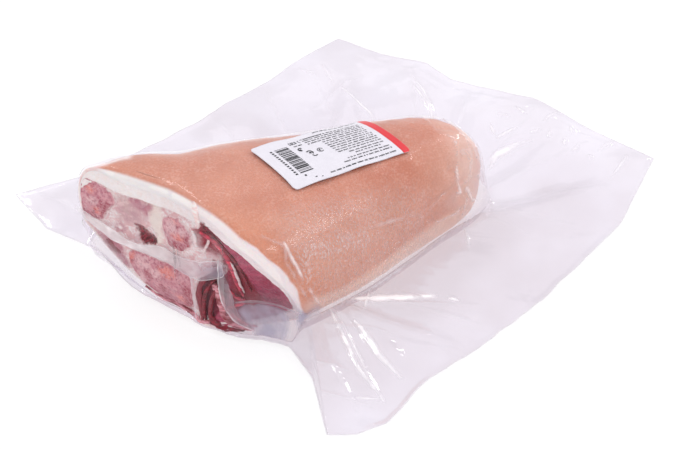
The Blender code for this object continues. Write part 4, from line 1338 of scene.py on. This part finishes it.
def skirt_grid(bearings, rows, under, strength):
    """Spare film from the foot to the free edge: straight in plan, eased in height, and creased.

    Returned with how white its creases' painted highlights are and how deep its painted shade is.
    """
    edge_radius, edge_height, foot_radius, foot_height = skirt_foot(bearings)
    share = np.linspace(0, 1, rows)[:, None]
    radius = foot_radius * (1 - share) + edge_radius * share
    height = foot_height * (1 - smooth(share)) + edge_height * smooth(share)
    x = HEART[0] + radius * np.cos(bearings)
    y = HEART[1] + radius * np.sin(bearings)
    flat = np.stack((x, y, np.zeros(x.shape)), axis=-1)
    width = edge_radius - foot_radius
    room = smooth(width / 22)
    fade = (1 - 0.55 * share ** 4) * room
    lift = skirt_lift(x, y) * fade
    fan = np.stack((np.cos(bearings) * 15 + 0 * share, np.sin(bearings) * 15 + 0 * share,
                    radius / 80), axis=-1)
    lift += 0.9 * strength * (crumple(fan, 1, 1, 100) - 0.4) * np.exp(-2.6 * share) * room
    lift += 1.6 * noise(flat, 42, 2, 104) * room
    lift += 0.5 * strength * (crumple(flat, 34, 2, 108) - 0.45) * room
    milk = np.zeros(x.shape)
    if under:
        slack = 1.3 + 0.7 * noise(flat, 30, 2, 112)
        lift = lift * 0.75 - np.maximum(slack, 0.3) * np.sin(math.pi * np.clip(share, 0, 1)) ** 0.7
    else:
        sharp, milk = sharp_creases(x, y)
        lift += sharp * fade + seal_lift(bearings, (1 - share) * width)
    ends = smooth(share / 0.04) * (0.35 + 0.65 * falls(share, 1, 0.05))
    height = height + lift * ends - (0.25 * ends if under else 0)
    grid = np.stack((x, y, np.maximum(height, 0.5 if under else 0.9)), axis=-1)
    # Painted shade: the tint deepens near the meat, most on the front and a little less toward the left,
    # with noise.
    near = 0.25 + 0.75 * np.exp(-((radius - foot_radius) / 55) ** 2)
    shade = falls(y, 10, 50) * near * (1 - 0.25 * falls(x, -20, 20))
    return grid, milk, np.clip(shade + 0.25 * noise(flat, 22, 2, 128), 0, 1)


def seal_lift(bearings, inset):
    """Height of the welded band and of the puckers beside it, at an inset from the free edge."""
    degrees = (np.degrees(bearings) + 180) % 360 - 180
    along = rises(degrees, SEAL_BEARINGS[0], 6) * falls(degrees, SEAL_BEARINGS[1], 6)
    band = rises(inset, SEAL_INSET[0], 1.5) * falls(inset, SEAL_INSET[1], 1.5)
    along_edge = np.degrees(bearings) * 0.55 + 0 * inset
    pucker = crumple(np.stack((along_edge, inset * 0.08, 0 * inset), axis=-1), 1, 2, 116)
    return along * (0.5 * band + 1.5 * (pucker - 0.4) * rises(inset, 2, 4) * falls(inset, 26, 10))


def build_skirt(look):
    """Two sheets of spare film, joined at the free edge; the lower one runs on under the shank."""
    bearings = bearings_of(SKIRT_ROUND)
    tints = (look.spare_tint, look.spare_cloud_and_shade)
    film = make_film_material("spare_film", look, look.spare_haze, look.milk, tints, 0.22, 0.07)
    top, milk, shade = skirt_grid(bearings, SKIRT_ROWS, False, look.crumple)
    marks = {"milk": milk, "shade": shade}
    pieces = [laid_grid("film_skirt", top, film, wrap=True, attributes=marks)]
    below, _, shade = skirt_grid(bearings, UNDER_ROWS, True, look.crumple)
    below[-1] = top[-1]
    base = POUCH[0, 2] + 0.15
    inward = []
    for share, height in UNDERSIDE_RINGS:
        ring = below[0] * share + np.array((*HEART[:2], 0.0)) * (1.0 - share)
        ring[:, 2] = base + (below[0, :, 2] - base) * height
        inward.append(ring)
    rings = np.concatenate((np.array(inward[::-1]), below))
    points, quads = capped(rings, first=(*HEART[:2], base), flip=True)
    # The underside carries the same painted shade.
    shade = np.concatenate((np.repeat(shade[:1], len(inward), axis=0), shade)).ravel()
    shade = {"shade": np.append(shade, shade.mean())}
    pieces.append(laid("film_underside", points, quads, film, attributes=shade))
    closed = np.concatenate((top[-1, -2:], top[-1], top[-1, :2]))
    half = np.full(len(closed), look.rim_width / MM / 2.0)
    up = np.tile((0.0, 0.0, 1.0), (len(closed), 1))
    bead = tube_points(closed, half, 0.3 * half, up, BEAD_SIDES)[2:-2]
    quads = grid_quads(SKIRT_ROUND + 1, BEAD_SIDES, wrap=True) % (SKIRT_ROUND * BEAD_SIDES)
    tints = (look.tint, look.tint_deep)
    weld = make_film_material("film_edge", look, look.weld_haze, look.weld_milk, tints, 0.1, 0.2, 0)
    pieces.append(laid("film_edge", bead, quads, weld))
    return pieces


PLEAT_EDGE = 0.42          # half width of a pleat's rolled edge
BLUISH = (-13.0, 34.0, 45.0)   # bluer haze in the pleats: middle y and z, and its spread, squared
PLEATS = {                 # path of y, z on the sawn face; half widths and haze along it; haze of its edges
    "film_pleat_across": (((67, 48), (60, 44.5), (52, 40), (43, 35), (32, 33), (22, 34.5), (14, 35.5),
        (6, 34.5), (-3, 34.5), (-10, 36), (-16, 40), (-20, 45)),
        (1.5, 3, 4.2, 4, 2.4, 2.6, 4.2, 4.6, 5.6, 6.6, 5.5, 2),
        (0.5, 0.8, 0.86, 0.82, 0.74, 0.68, 0.66, 0.54, 0.42, 0.34, 0.28, 0.15), (0.9, 0.75)),
    "film_pleat_down": (((-17, 47), (-16.6, 36), (-17.6, 27), (-20.2, 18), (-24.8, 10), (-29.8, 3),
        (-33.5, -4)), (1.2, 2.6, 3.3, 2.6, 1.4, 1, 0.8), (0.3, 0.4, 0.44, 0.4, 0.4, 0.45, 0.45), (0.35, 1)),
    "film_crease_upright": (((-2.5, 30), (-4.5, 22), (-6, 12), (-8, 4)), (0.5, 0.9, 0.9, 0.4),
        (0.2, 0.5, 0.5, 0.2), (0.5, 0.6)),
    "film_pocket_edge": (((-22, 18.5), (-30, 20.5), (-40, 19.5), (-50, 18)), (0.6, 1.1, 1, 0.5),
        (0.3, 0.5, 0.45, 0.3), (0.75, 0.45)),
}


def build_pleats(look):
    """Pleats of doubled film across the sawn end: a hazy strip along each path, with both edges rolled."""
    tints = (look.tint, look.tint_deep)
    film = make_film_material("pleated_film", look, 0, look.pleat_milk, tints, 0.2, 0.09, FILM_MIRROR)
    across = np.linspace(-1, 1, 49)[None, :]
    share = np.linspace(0, 1, 260)
    ends = smooth(np.minimum(share, 1 - share) / 0.06)[:, None]
    pieces = []
    for number, (name, (corners, widths, hazes, edges)) in enumerate(PLEATS.items()):
        path = eased_path(corners, len(share))
        half, haze = (np.interp(share, np.linspace(0, 1, len(row)), row)[:, None]
                      for row in (widths, hazes))
        wobble = wobble_along(share, 14, number, 136)[:, None]
        half = half * (1 + 0.10 * wobble)
        along = np.gradient(path, axis=0)
        along /= np.linalg.norm(along, axis=1, keepdims=True)
        y = path[:, :1] - along[:, 1:] * half * across
        z = path[:, 1:] + along[:, :1] * half * across
        flat = np.stack((y, z, 0 * y), axis=-1)
        thin = PLEAT_EDGE / np.maximum(half, PLEAT_EDGE)
        first, second = (np.exp(-((across - at) / thin) ** 2)
                         for at in (thin * 1.2 - 1, 1 - thin * 1.2))
        fold = 0.30 * crumple(flat * (0.6, 1, 1), 6, 2, 120 + number)
        fold = fold + 0.55 * np.maximum(first, second)
        x = saw_plane(y, np.maximum(z, 0)) - 0.35 - fold
        middle = look.pleat_haze * haze * (1 + 0.25 * noise(flat, 5, 2, 140 + number))
        milk = np.maximum.reduce((middle, first * edges[0] * (0.8 + 0.3 * wobble),
                                  second * edges[1] * (0.9 + 0.2 * wobble))) * ends
        bluish = 0.55 * np.exp(-((y - BLUISH[0]) ** 2 + (z - BLUISH[1]) ** 2) / BLUISH[2])
        marks = {"milk": np.clip(milk, 0, 1), "lilac": bluish}
        grid = np.stack((x, y, np.maximum(z, 0.9)), axis=-1)
        pieces.append(laid_grid(name, grid, film, flip=True, attributes=marks))
    return pieces


# ------------------------------------ label
def label_table(columns=97, rows=61):
    """The label's place over the ridge: even steps along it, and true lengths measured across the curve."""
    along = np.linspace(-0.52, 0.52, columns) * LABEL_LENGTH
    across = np.linspace(-0.52, 0.52, rows) * LABEL_WIDTH
    trial = np.linspace(-0.62, 0.62, 241) * LABEL_WIDTH
    u, t = np.meshgrid(along, trial, indexing="ij")
    x = LABEL_CENTRE[0] + u * math.cos(LABEL_TURN) - t * math.sin(LABEL_TURN)
    y = LABEL_CENTRE[1] + u * math.sin(LABEL_TURN) + t * math.cos(LABEL_TURN)
    z = top_height(x, y)
    length = running_length(x, y, z)
    length -= np.array([np.interp(0.0, trial, way) for way in length])[:, None]
    grid = np.array([np.stack([np.interp(across, way, row) for row in (xs, ys, zs)], axis=-1)
                     for way, xs, ys, zs in zip(length, x, y, z)])
    return along, across, grid, normals_of(grid)


def on_label(table, u, w, lift):
    """Points over the label from places along and across it, read between the table's points and lifted."""
    along, across, grid, normal = table
    i = np.clip((u - along[0]) / (along[1] - along[0]), 0, len(along) - 1.001)
    j = np.clip((w - across[0]) / (across[1] - across[0]), 0, len(across) - 1.001)
    low_i, low_j = i.astype(int), j.astype(int)
    part_i, part_j = (i - low_i)[..., None], (j - low_j)[..., None]

    def read_row(values, row):
        return values[row, low_j] * (1 - part_j) + values[row, low_j + 1] * part_j

    def read(values):
        return read_row(values, low_i) * (1 - part_i) + read_row(values, low_i + 1) * part_i

    out = read(normal)
    out *= np.sign(out[..., 2:])
    waviness = 0.35 * np.sin(u * 0.21 + 0.6) * smooth((np.abs(w) - 12) / 10)
    return read(grid) + out * (lift + waviness + 0.35)[..., None]


CORNER_RADIUS = 2.6
PAPER_THICKNESS = 0.28
STRIPE_LIFT = 0.2          # printed colour stands this far off the paper
INK_LIFT = 0.26
PATCH_ROWS = 56


def rounded_patch(table, u_from, u_to, lift, columns):
    """Stretch of the label between two places along it, drawn in at the label's ends by quarter circles."""
    u = np.linspace(u_from, u_to, columns)[:, None]
    over = np.maximum(np.abs(u) - (LABEL_LENGTH / 2 - CORNER_RADIUS), 0)
    pulled = CORNER_RADIUS - np.sqrt(np.maximum(CORNER_RADIUS ** 2 - over ** 2, 0))
    w = np.linspace(-1, 1, PATCH_ROWS)[None, :] * (LABEL_WIDTH / 2 - pulled)
    return on_label(table, u + 0 * w, w, lift + 0 * w)


def build_label(look):
    """Label: paper sheet with a wall, and a coloured stripe printed along its far short side."""
    table = label_table()
    half = LABEL_LENGTH / 2
    paper = make_plain_material("label_paper", tuple(look.paper), 0.42, 0.015, 0.2)
    sheet = rounded_patch(table, -half, half, 0, 96)
    piece = laid_grid("label_paper", sheet, paper, replaces=("label",))
    wall = piece.modifiers.new("paper thickness", "SOLIDIFY")
    wall.thickness = PAPER_THICKNESS * MM
    wall.offset = 0
    stripe = make_plain_material("label_stripe", tuple(look.stripe), 0.38, 0.02, 0.2)
    band = rounded_patch(table, half - look.stripe_width / MM, half - 0.12, STRIPE_LIFT, 16)
    return [piece, laid_grid("label_stripe", band, stripe)]


def print_quads(table, boxes, cuts=5):
    """Raised ink: each box of places along and across the label becomes a row of faces that follows it."""
    points, quads = [], []
    for u0, u1, w0, w1 in boxes:
        u = np.linspace(u0, u1, cuts)[:, None] + np.zeros((1, 2))
        w = np.array([[w0, w1]]) + np.zeros((cuts, 1))
        quads.append(grid_quads(cuts, 2, first=len(points) * cuts * 2))
        points.append(on_label(table, u, w, np.full(u.shape, INK_LIFT)).reshape(-1, 3))
    return np.concatenate(points), np.concatenate(quads)


def dash_rows(rng, rows):
    """Boxes standing for lines of small print: runs of dashes of random length with gaps between."""
    boxes = []
    for u_start, u_end, w, tall in rows:
        u = u_start
        while u < u_end - 0.5:
            word = min(rng.uniform(1, 4.6), u_end - u)
            strokes = max(int(word / 0.55), 1)
            for k in range(strokes):
                left = u + word * k / strokes
                high = tall * rng.uniform(0.6, 1)
                boxes.append((left, left + word / strokes * 0.66, w - high / 2, w + high / 2))
            u += word + rng.uniform(0.5, 0.9)
    return boxes


def ring_points(table, u, w, inner, outer, start, sweep):
    """Part of a flat ring of ink round a place on the label."""
    angle = np.radians(np.linspace(start, start + sweep, 33))[:, None]
    radius = np.array([[inner, outer]])
    u, w = u + radius * np.cos(angle), w + radius * np.sin(angle)
    return on_label(table, u, w, np.full(u.shape, INK_LIFT))


RING_MARKS = (             # place along and across, inner and outer radius, start and sweep in degrees
    (-16.0, 6.4, 1.0, 1.75, 30.0, 250.0), (-16.4, 6.0, 0.0, 0.7, 0.0, 360.0),
    (-13.4, 1.4, 1.35, 2.15, -60.0, 200.0), (-13.2, 1.2, 0.0, 0.8, 0.0, 360.0),
    (-12.0, -1.4, 0.9, 1.6, 160.0, 170.0),
    (-6.6, 1.0, 1.5, 1.95, 10.0, 320.0), (-6.6, 1.0, 0.3, 0.95, 60.0, 240.0),
)
HEAVY_ROWS = ((-18.5, -13.4, 14.2, 2.6), (-12.3, -9.9, 14.2, 2.6))   # start, end, middle across, height
DOTS = ((-28.6, -27.4, -15.4, -14.2), (-24.0, -22.9, -18.6, -17.9), (-20.5, -19.6, -19.6, -19.1))
HEAVY_STEP = 1.25


def bar_boxes(rng):
    """Boxes of a pattern of random bars and gaps across the label, and of a row of small squares."""
    boxes = []
    w = 12.6
    while w > -12.4:
        bar = rng.choice((0.3, 0.3, 0.55, 0.8, 1.05))
        boxes.append((-29.5, -21, w - bar, w))
        w -= bar + rng.choice((0.3, 0.3, 0.55, 0.8))
    return boxes + [(-32.6, -31.2, 11.45 - k * 2, 12.55 - k * 2) for k in range(13)]


def small_rows():
    """Rows of small print: start and end along the label, middle across it, height."""
    rows = [(-8, 4.5, 15.4, 1.2), (-17.5, -12, 10.6, 1.2)]
    rows += [(-10.5 + 0.35 * k, 31.2 - 0.4 * (k % 3), 17.6 - 2.05 * k, 1.1) for k in range(1, 3)]
    rows += [(-9.5, 31, 11.4, 1.1), (-9, 30.2, 9.2, 1.1), (1.5, 31.4, 19.6, 1.1)]
    rows += [(-0.5 + 0.2 * k, 31 - 0.7 * (k % 2), 7 - 2.1 * k, 1.05) for k in range(7)]
    return rows + [(6.5, 30.6, -8.1, 1.05), (9.5, 27, -10.2, 1.05), (2, 31.2, -12.8, 1.05),
                   (-2, 31.4, -15, 1.05), (-14, 31.4, -18.6, 1.15)]


def heavy_boxes():
    """Boxes of the heavy print: plain shapes of an upright and two short bars, every second one closed."""
    boxes = []
    for u0, u1, middle, tall in HEAVY_ROWS:
        low, high = middle - tall / 2, middle + tall / 2
        for k in range(int((u1 - u0) / HEAVY_STEP)):
            left = u0 + HEAVY_STEP * k
            boxes += [(left, left + 0.9, high - 0.4, high), (left, left + 0.9, low, low + 0.4),
                      (left, left + 0.32, low, high)]
            if k % 2:
                boxes.append((left + 0.58, left + 0.9, low, high))
    return boxes


def build_label_print(look):
    """Ink on the label: a bar pattern, rows of dashes in place of words, and plain round marks."""
    table = label_table()
    rng = np.random.default_rng(42)
    boxes = bar_boxes(rng)
    boxes += dash_rows(rng, small_rows())
    points, quads = print_quads(table, [*boxes, *heavy_boxes(), *DOTS])
    for mark in RING_MARKS:
        ring = ring_points(table, *mark)
        quads = np.concatenate((quads, grid_quads(*ring.shape[:2], first=len(points))))
        points = np.concatenate((points, ring.reshape(-1, 3)))
    ink = make_plain_material("label_ink", tuple(look.ink), 0.6, 0.05)
    return laid("label_print", points, quads, ink, smooth=False)


# ------------------------------------ settings
def colour(name, text, default):
    """Colour setting, in linear light."""
    return FloatVectorProperty(name=name, description=text, default=default, subtype="COLOR", size=3,
                               min=0, max=1)


def share(name, text, default, top=1):
    """Plain number from 0 to top."""
    return FloatProperty(name=name, description=text, default=default, min=0.0, max=top)


def length(name, text, default_mm):
    """Length setting in metres, whose default is given in millimetres."""
    return FloatProperty(name=name, description=text, default=default_mm * MM, subtype="DISTANCE",
                         unit="LENGTH", min=0)


def power(name, text, default):
    return FloatProperty(name=name, description=text, default=default, min=0.0, subtype="POWER",
                         unit="POWER")


def turn(name, text, degrees):
    """Angle setting, whose default is given in degrees."""
    return FloatProperty(name=name, description=text, default=math.radians(degrees), subtype="ANGLE",
                         unit="ROTATION")


class MeatLook(bpy.types.PropertyGroup):
    """Colours of the rind and of what shows at the sawn end."""
    rind_deep: colour("Rind, deep", "Peach of the rind where it is deepest", (0.596, 0.201, 0.112))
    rind_pale: colour("Rind, pale", "Peach of the rind where it is palest", (0.72, 0.29, 0.174))
    rind_blush: colour("Rind, blush", "Pinker mottling of the rind", (0.658, 0.236, 0.154))
    rind_orange: colour("Rind, orange", "Warmer rind along the sawn rim", (0.815, 0.34, 0.19))
    # Also the colour of painted sheen on the rind's front and painted light along its top.
    rind_milky_and_painted_light: colour("Rind, milky", "Pale rind of the narrow end", (0.92, 0.64, 0.51))
    rind_freckle: colour("Rind, freckles", "Pores and specks", (0.50, 0.19, 0.12))
    tissue_pink: colour("Tissue, pink", "Pink patches of the tissue between the bones", (0.76, 0.40, 0.40))
    tissue_pale: colour("Tissue, pale", "That tissue where it is palest", (0.85, 0.60, 0.58))
    tissue_mauve: colour("Tissue, mauve", "Bluish patches of that tissue", (0.60, 0.33, 0.36))
    tissue_tan: colour("Tissue, tan", "Brownish gristle between the bones", (0.62, 0.37, 0.36))
    lean_dark: colour("Lean meat, dark", "Dark patches of the lean meat", (0.32, 0.024, 0.06))
    lean_bright: colour("Lean meat, bright", "Bright fibres of the lean meat", (0.49, 0.06, 0.125))
    lean_mauve: colour("Lean meat, mauve", "Lean meat pressed against the film", (0.37, 0.038, 0.092))
    lean_dusk: colour("Lean meat, dusky", "Darkest lean meat, under the fat", (0.24, 0.018, 0.042))
    lean_wet: colour("Lean meat, wet", "Deep wet red between the muscles", (0.36, 0.020, 0.042))
    marbling: colour("Marbling", "Fine pale veins in the lean meat", (0.50, 0.20, 0.25))
    fat_white: colour("Fat, white", "Whitest fat", (0.98, 0.92, 0.89))
    fat_cream: colour("Fat, cream", "Creamy fat", (0.96, 0.85, 0.79))
    fat_pink: colour("Fat, pink", "Fat stained pink", (0.88, 0.60, 0.57))
    cartilage: colour("Cartilage", "Cream gristle by the joint", (0.88, 0.76, 0.68))
    marrow_mauve: colour("Marrow, mauve", "Bluish marrow and bruises", (0.44, 0.13, 0.19))
    marrow_dark: colour("Marrow, dark", "Dark red pits of the bone", (0.26, 0.03, 0.05))
    blood: colour("Blood", "Dark pockets", (0.11, 0.003, 0.008))
    rim_white: colour("Rim", "White layer right under the skin", (0.98, 0.93, 0.89))
    rim_pink: colour("Rim, pink", "That layer beside the lean meat", (0.97, 0.85, 0.84))
    bone_pink: colour("Bone, pink", "Spongy bone, pink", (0.55, 0.16, 0.21))
    bone_red: colour("Bone, red", "Spongy bone, redder", (0.40, 0.05, 0.085))
    bone_orange: colour("Bone, orange", "Bright patches of the spongy bone", (0.86, 0.25, 0.20))
    bone_blush: colour("Bone, blush", "Lighter grain of the spongy bone", (0.70, 0.30, 0.34))
    bone_pale: colour("Bone, pale", "Pale walls of the sponge", (0.86, 0.56, 0.56))
    bone_wall: colour("Bone wall", "Hard outer wall of the bone", (0.92, 0.76, 0.73))
    strip_red: colour("Strips, red", "Wet crimson strips of meat", (0.98, 0.085, 0.145))
    strip_salmon: colour("Strips, salmon", "Rounded strips pressed out at the foot", (0.98, 0.46, 0.51))
    fold_brown: colour("Folds, brown", "Brownish red folds", (0.27, 0.022, 0.036))
    relief: share("Relief", "Strength of the rind's own hollows and pebbling", 1.0, 3.0)


class FilmLook(bpy.types.PropertyGroup):
    """Clear film of the pouch."""
    tint: colour("Tint", "What the tight film lets through where it is clearest", (0.985, 0.98, 0.99))
    tint_deep: colour("Tint, deep", "What the tight film lets through where deepest", (0.96, 0.945, 0.97))
    spare_tint: colour("Spare film", "What a loose sheet lets through far off", (0.940, 0.920, 0.958))
    # Painted shade: the deeper tint of loose film near the meat, also reached by random cloudiness.
    spare_cloud_and_shade: colour("Spare film, deep", "And near the meat", (0.872, 0.838, 0.868))
    milk: colour("Haze colour", "Colour of the faint haze", (0.86, 0.83, 0.87))
    weld_milk: colour("Weld colour", "Haze of the welded rim", (0.98, 0.97, 0.98))
    pleat_milk: colour("Pleat colour", "Haze of the doubled pleats", (0.93, 0.89, 0.94))
    pocket_lilac: colour("Pocket colour", "Haze at the foot of the lean meat", (0.56, 0.54, 0.66))
    # Painted highlight: white of the crease lines, and of the strongest haze.
    haze_and_highlight_white: colour("Crease colour", "White lines where the film is folded", (0.98, 0.97, 0.98))
    drawn_haze: share("Haze over the meat", "Share of haze in the tight film", 0.005)
    spare_haze: share("Haze of the spare film", "Share of haze in each loose sheet", 0.04)
    weld_haze: share("Haze of the rim", "Share of haze in the rim's weld", 0.75)
    # Painted glints: share of white haze in the specks, most where the film only half touches the rind.
    speck_glint: share("Haze of the specks", "Share of haze where the film only half touches the rind", 0.45)
    pleat_haze: share("Haze of the pleats", "Scales the haze of the doubled film", 1.0, 2.0)
    pocket_haze: share("Haze of the pocket", "Share of haze at the foot of the lean meat", 0.64)
    crumple: share("Crumple", "Strength of the film's random creases", 1.0, 3.0)
    rim_width: length("Rim width", "Width of the bead along the free edge", 0.8)


class LabelLook(bpy.types.PropertyGroup):
    """Paper label and what is printed on it."""
    paper: colour("Paper", "Coated paper", (0.80, 0.78, 0.83))
    stripe: colour("Stripe", "Red stripe at one short side", (0.76, 0.015, 0.025))
    ink: colour("Ink", "Black of the print", (0.03, 0.03, 0.035))
    stripe_width: length("Stripe width", "Width of the red stripe", 5.4)


class StageLook(bpy.types.PropertyGroup):
    """Floor, lights and camera."""
    floor: colour("Floor", "White table", (0.30, 0.30, 0.30))
    glow: share("Glow", "Light of the table itself, as on a light table", 0.74, 2.0)
    sky: share("Sky", "Even light from all sides", 0.76, 2.0)
    key: power("Key light", "Wide soft box overhead", 7.0)
    strips: power("Strip lights", "Narrow lamps that catch the film's creases", 1.6)
    front: power("Front lamp", "Lamp that glints on the pebbled front of the rind", 1.5)
    azimuth: turn("Azimuth", "Camera's turn round the pack", -30.0)
    elevation: turn("Elevation", "Camera's height over the table, as an angle", 37.0)
    distance: length("Distance", "From the camera to the middle of the pack", 855.0)
    lens: FloatProperty(name="Lens", description="Focal length on a 36 mm sensor, in millimetres",
                        default=77.7, min=10, subtype="DISTANCE_CAMERA")


# ------------------------------------ stage
VIEW_TARGET = (0.0, 0.0, 25.0)      # in the shank's datum
TABLE_WIDTH = 6.0                   # metres


def toward(azimuth, elevation):
    """Unit vector from the pack to a place at this azimuth and elevation; azimuth 0 looks along +Y."""
    return Vector((math.sin(azimuth) * math.cos(elevation), -math.cos(azimuth) * math.cos(elevation),
                   math.sin(elevation)))


def aimed(name, data, target, direction, distance):
    """Object of a light or a camera, set back from its target and turned to look at it."""
    item = bpy.data.objects.new(name, data)
    bpy.context.scene.collection.objects.link(item)
    item.location = target + direction * distance
    item.rotation_euler = direction.to_track_quat("Z", "Y").to_euler()
    return item


def soft_box(name, power, size, target, azimuth, elevation, distance):
    """Rectangular lamp of a size in metres, aimed at the target from angles in degrees."""
    lamp = bpy.data.lights.new(name, "AREA")
    lamp.shape = "RECTANGLE"
    lamp.size, lamp.size_y = size
    lamp.energy = power
    return aimed(name, lamp, target, toward(math.radians(azimuth), math.radians(elevation)), distance)


def build_stage(look):
    """White light table, an even sky, a wide lamp overhead, three narrow ones, and the camera."""
    scene = bpy.context.scene
    scene.view_settings.view_transform = "Standard"
    scene.cycles.transparent_max_bounces = 32
    target = Vector((np.array(VIEW_TARGET) + SHANK_DATUM) * MM)
    aimed_camera = bpy.data.cameras.new("camera")
    aimed_camera.lens = look.lens
    aimed_camera.sensor_width = 36
    aimed_camera.clip_start = 0.02
    direction = toward(look.azimuth, look.elevation)
    scene.camera = aimed("camera", aimed_camera, target, direction, look.distance)

    soft_box("overhead_box", look.key, (2.2, 2.2), target, 150.0, 74.0, 1.6)
    soft_box("right_strip", look.strips, (0.06, 0.8), target, 112.0, 16.0, 1.1)
    soft_box("left_strip", look.strips, (0.8, 0.06), target, -143.0, 60.0, 1.1)
    soft_box("front_strip", look.front, (0.6, 0.10), target, 42.0, 40.0, 1.1)

    world = bpy.data.worlds.new("even_sky")
    scene.world = world
    world.use_nodes = True
    sky = world.node_tree.nodes["Background"]
    sky.inputs["Color"].default_value = (0.97, 0.95, 1.0, 1.0)
    sky.inputs["Strength"].default_value = look.sky

    half = TABLE_WIDTH / 2
    mesh = bpy.data.meshes.new("table")
    mesh.from_pydata([(-half, -half, 0), (half, -half, 0), (half, half, 0), (-half, half, 0)], [],
                     [(0, 1, 2, 3)])
    make = Nodes("white_table")
    cloud = make.noise(90, 2)
    pale = tuple(look.floor)
    shade = make.mixed(make.eased(cloud, 0.3, 0.7), tuple(c * 0.99 for c in pale), pale)
    surface = make.add("BsdfPrincipled", {
        "Base Color": shade, "Roughness": 0.6, "Specular IOR Level": 0.2,
        "Emission Color": (1, 1, 1, 1), "Emission Strength": look.glow})
    mesh.materials.append(make.finished(surface))
    floor = bpy.data.objects.new("table", mesh)
    scene.collection.objects.link(floor)


# ------------------------------------ add-on
OUTSIDE_SHARE = 0.03       # pieces may reach outside the packed model's box by this share of its size
OUTSIDE_REACH = 0.010      # and this far, in metres


def ensure_fits(pieces):
    """Raises an error if a piece is empty or reaches too far outside the packed model's box."""
    low, high = np.array(CAD_BOX[0]), np.array(CAD_BOX[1])
    allowed = (high - low) * OUTSIDE_SHARE + OUTSIDE_REACH
    for piece in pieces:
        if not piece.data.polygons:
            raise RuntimeError(piece.name + " has no faces")
        at = np.empty(len(piece.data.vertices) * 3, np.float32)
        piece.data.vertices.foreach_get("co", at)
        at = at.reshape(-1, 3)
        if (at.min(axis=0) < low - allowed).any() or (at.max(axis=0) > high + allowed).any():
            raise RuntimeError(piece.name + " reaches outside the packed model")


class PieceOperator:
    """Shared by the operators: builds its pieces from one group of settings and tests them."""
    bl_options = {"REGISTER", "UNDO"}
    look = "meat_look"

    def execute(self, context):
        made = self.build(getattr(context.scene, self.look))
        ensure_fits(made if isinstance(made, list) else [made])
        return {"FINISHED"}


class SHANKPACK_OT_rind(PieceOperator, bpy.types.Operator):
    """Rind of the shank, from its sawn rim to the rounded narrow end"""
    bl_idname = "shankpack.rind"
    bl_label = "Rind"
    build = staticmethod(build_rind)


class SHANKPACK_OT_sawn_face(PieceOperator, bpy.types.Operator):
    """Sawn face with fat, lean meat, tissue and gristle"""
    bl_idname = "shankpack.sawn_face"
    bl_label = "Sawn face"
    build = staticmethod(build_sawn_face)


class SHANKPACK_OT_bones(PieceOperator, bpy.types.Operator):
    """Sawn bone ends"""
    bl_idname = "shankpack.bones"
    bl_label = "Bone ends"
    build = staticmethod(build_bones)


class SHANKPACK_OT_strips(PieceOperator, bpy.types.Operator):
    """Loose strips of meat, fat and sinew on the sawn end"""
    bl_idname = "shankpack.strips"
    bl_label = "Strips"
    build = staticmethod(build_strips)


class SHANKPACK_OT_drawn_film(PieceOperator, bpy.types.Operator):
    """Film drawn tight over the shank"""
    bl_idname = "shankpack.drawn_film"
    bl_label = "Drawn film"
    look = "film_look"
    build = staticmethod(build_drawn_film)


class SHANKPACK_OT_skirt(PieceOperator, bpy.types.Operator):
    """Spare film: both sheets and the welded bead along the free edge"""
    bl_idname = "shankpack.skirt"
    bl_label = "Spare film"
    look = "film_look"
    build = staticmethod(build_skirt)


class SHANKPACK_OT_pleats(PieceOperator, bpy.types.Operator):
    """Pleats of doubled film across the sawn end"""
    bl_idname = "shankpack.pleats"
    bl_label = "Pleats"
    look = "film_look"
    build = staticmethod(build_pleats)


class SHANKPACK_OT_label(PieceOperator, bpy.types.Operator):
    """Paper label with its red stripe"""
    bl_idname = "shankpack.label"
    bl_label = "Label"
    look = "label_look"
    build = staticmethod(build_label)


class SHANKPACK_OT_label_print(PieceOperator, bpy.types.Operator):
    """Plain bars, dashes and rings printed on the label"""
    bl_idname = "shankpack.label_print"
    bl_label = "Label print"
    look = "label_look"
    build = staticmethod(build_label_print)


class SHANKPACK_OT_stage(bpy.types.Operator):
    """Table, lights and camera"""
    bl_idname = "shankpack.stage"
    bl_label = "Stage"
    bl_options = {"REGISTER", "UNDO"}

    def execute(self, context):
        build_stage(context.scene.stage_look)
        if context.scene.camera is None:
            raise RuntimeError("the stage has no camera")
        return {"FINISHED"}


OPERATORS = (SHANKPACK_OT_stage, SHANKPACK_OT_rind, SHANKPACK_OT_sawn_face, SHANKPACK_OT_bones,
             SHANKPACK_OT_strips, SHANKPACK_OT_drawn_film, SHANKPACK_OT_skirt, SHANKPACK_OT_pleats,
             SHANKPACK_OT_label, SHANKPACK_OT_label_print)
LOOKS = {"meat_look": MeatLook, "film_look": FilmLook, "label_look": LabelLook, "stage_look": StageLook}


class SHANKPACK_PT_sidebar(bpy.types.Panel):
    """Buttons that build each piece, and the settings they read"""
    bl_idname = "SHANKPACK_PT_sidebar"
    bl_label = "Shank pack"
    bl_space_type = "VIEW_3D"
    bl_region_type = "UI"
    bl_category = "Shank pack"

    def draw(self, context):
        for operator in OPERATORS:
            self.layout.operator(operator.bl_idname)
        for name, group in LOOKS.items():
            box = self.layout.box()
            box.label(text=group.__doc__)
            for setting in group.__annotations__:
                box.prop(getattr(context.scene, name), setting)


CLASSES = (*LOOKS.values(), *OPERATORS, SHANKPACK_PT_sidebar)


def register():
    for item in CLASSES:
        bpy.utils.register_class(item)
    for name, group in LOOKS.items():
        setattr(bpy.types.Scene, name, PointerProperty(type=group))


def unregister():
    for name in LOOKS:
        delattr(bpy.types.Scene, name)
    for item in reversed(CLASSES):
        bpy.utils.unregister_class(item)


def main():
    register()
    for operator in OPERATORS:
        getattr(bpy.ops.shankpack, operator.bl_idname.split(".")[1])()


if __name__ == "__main__":
    main()
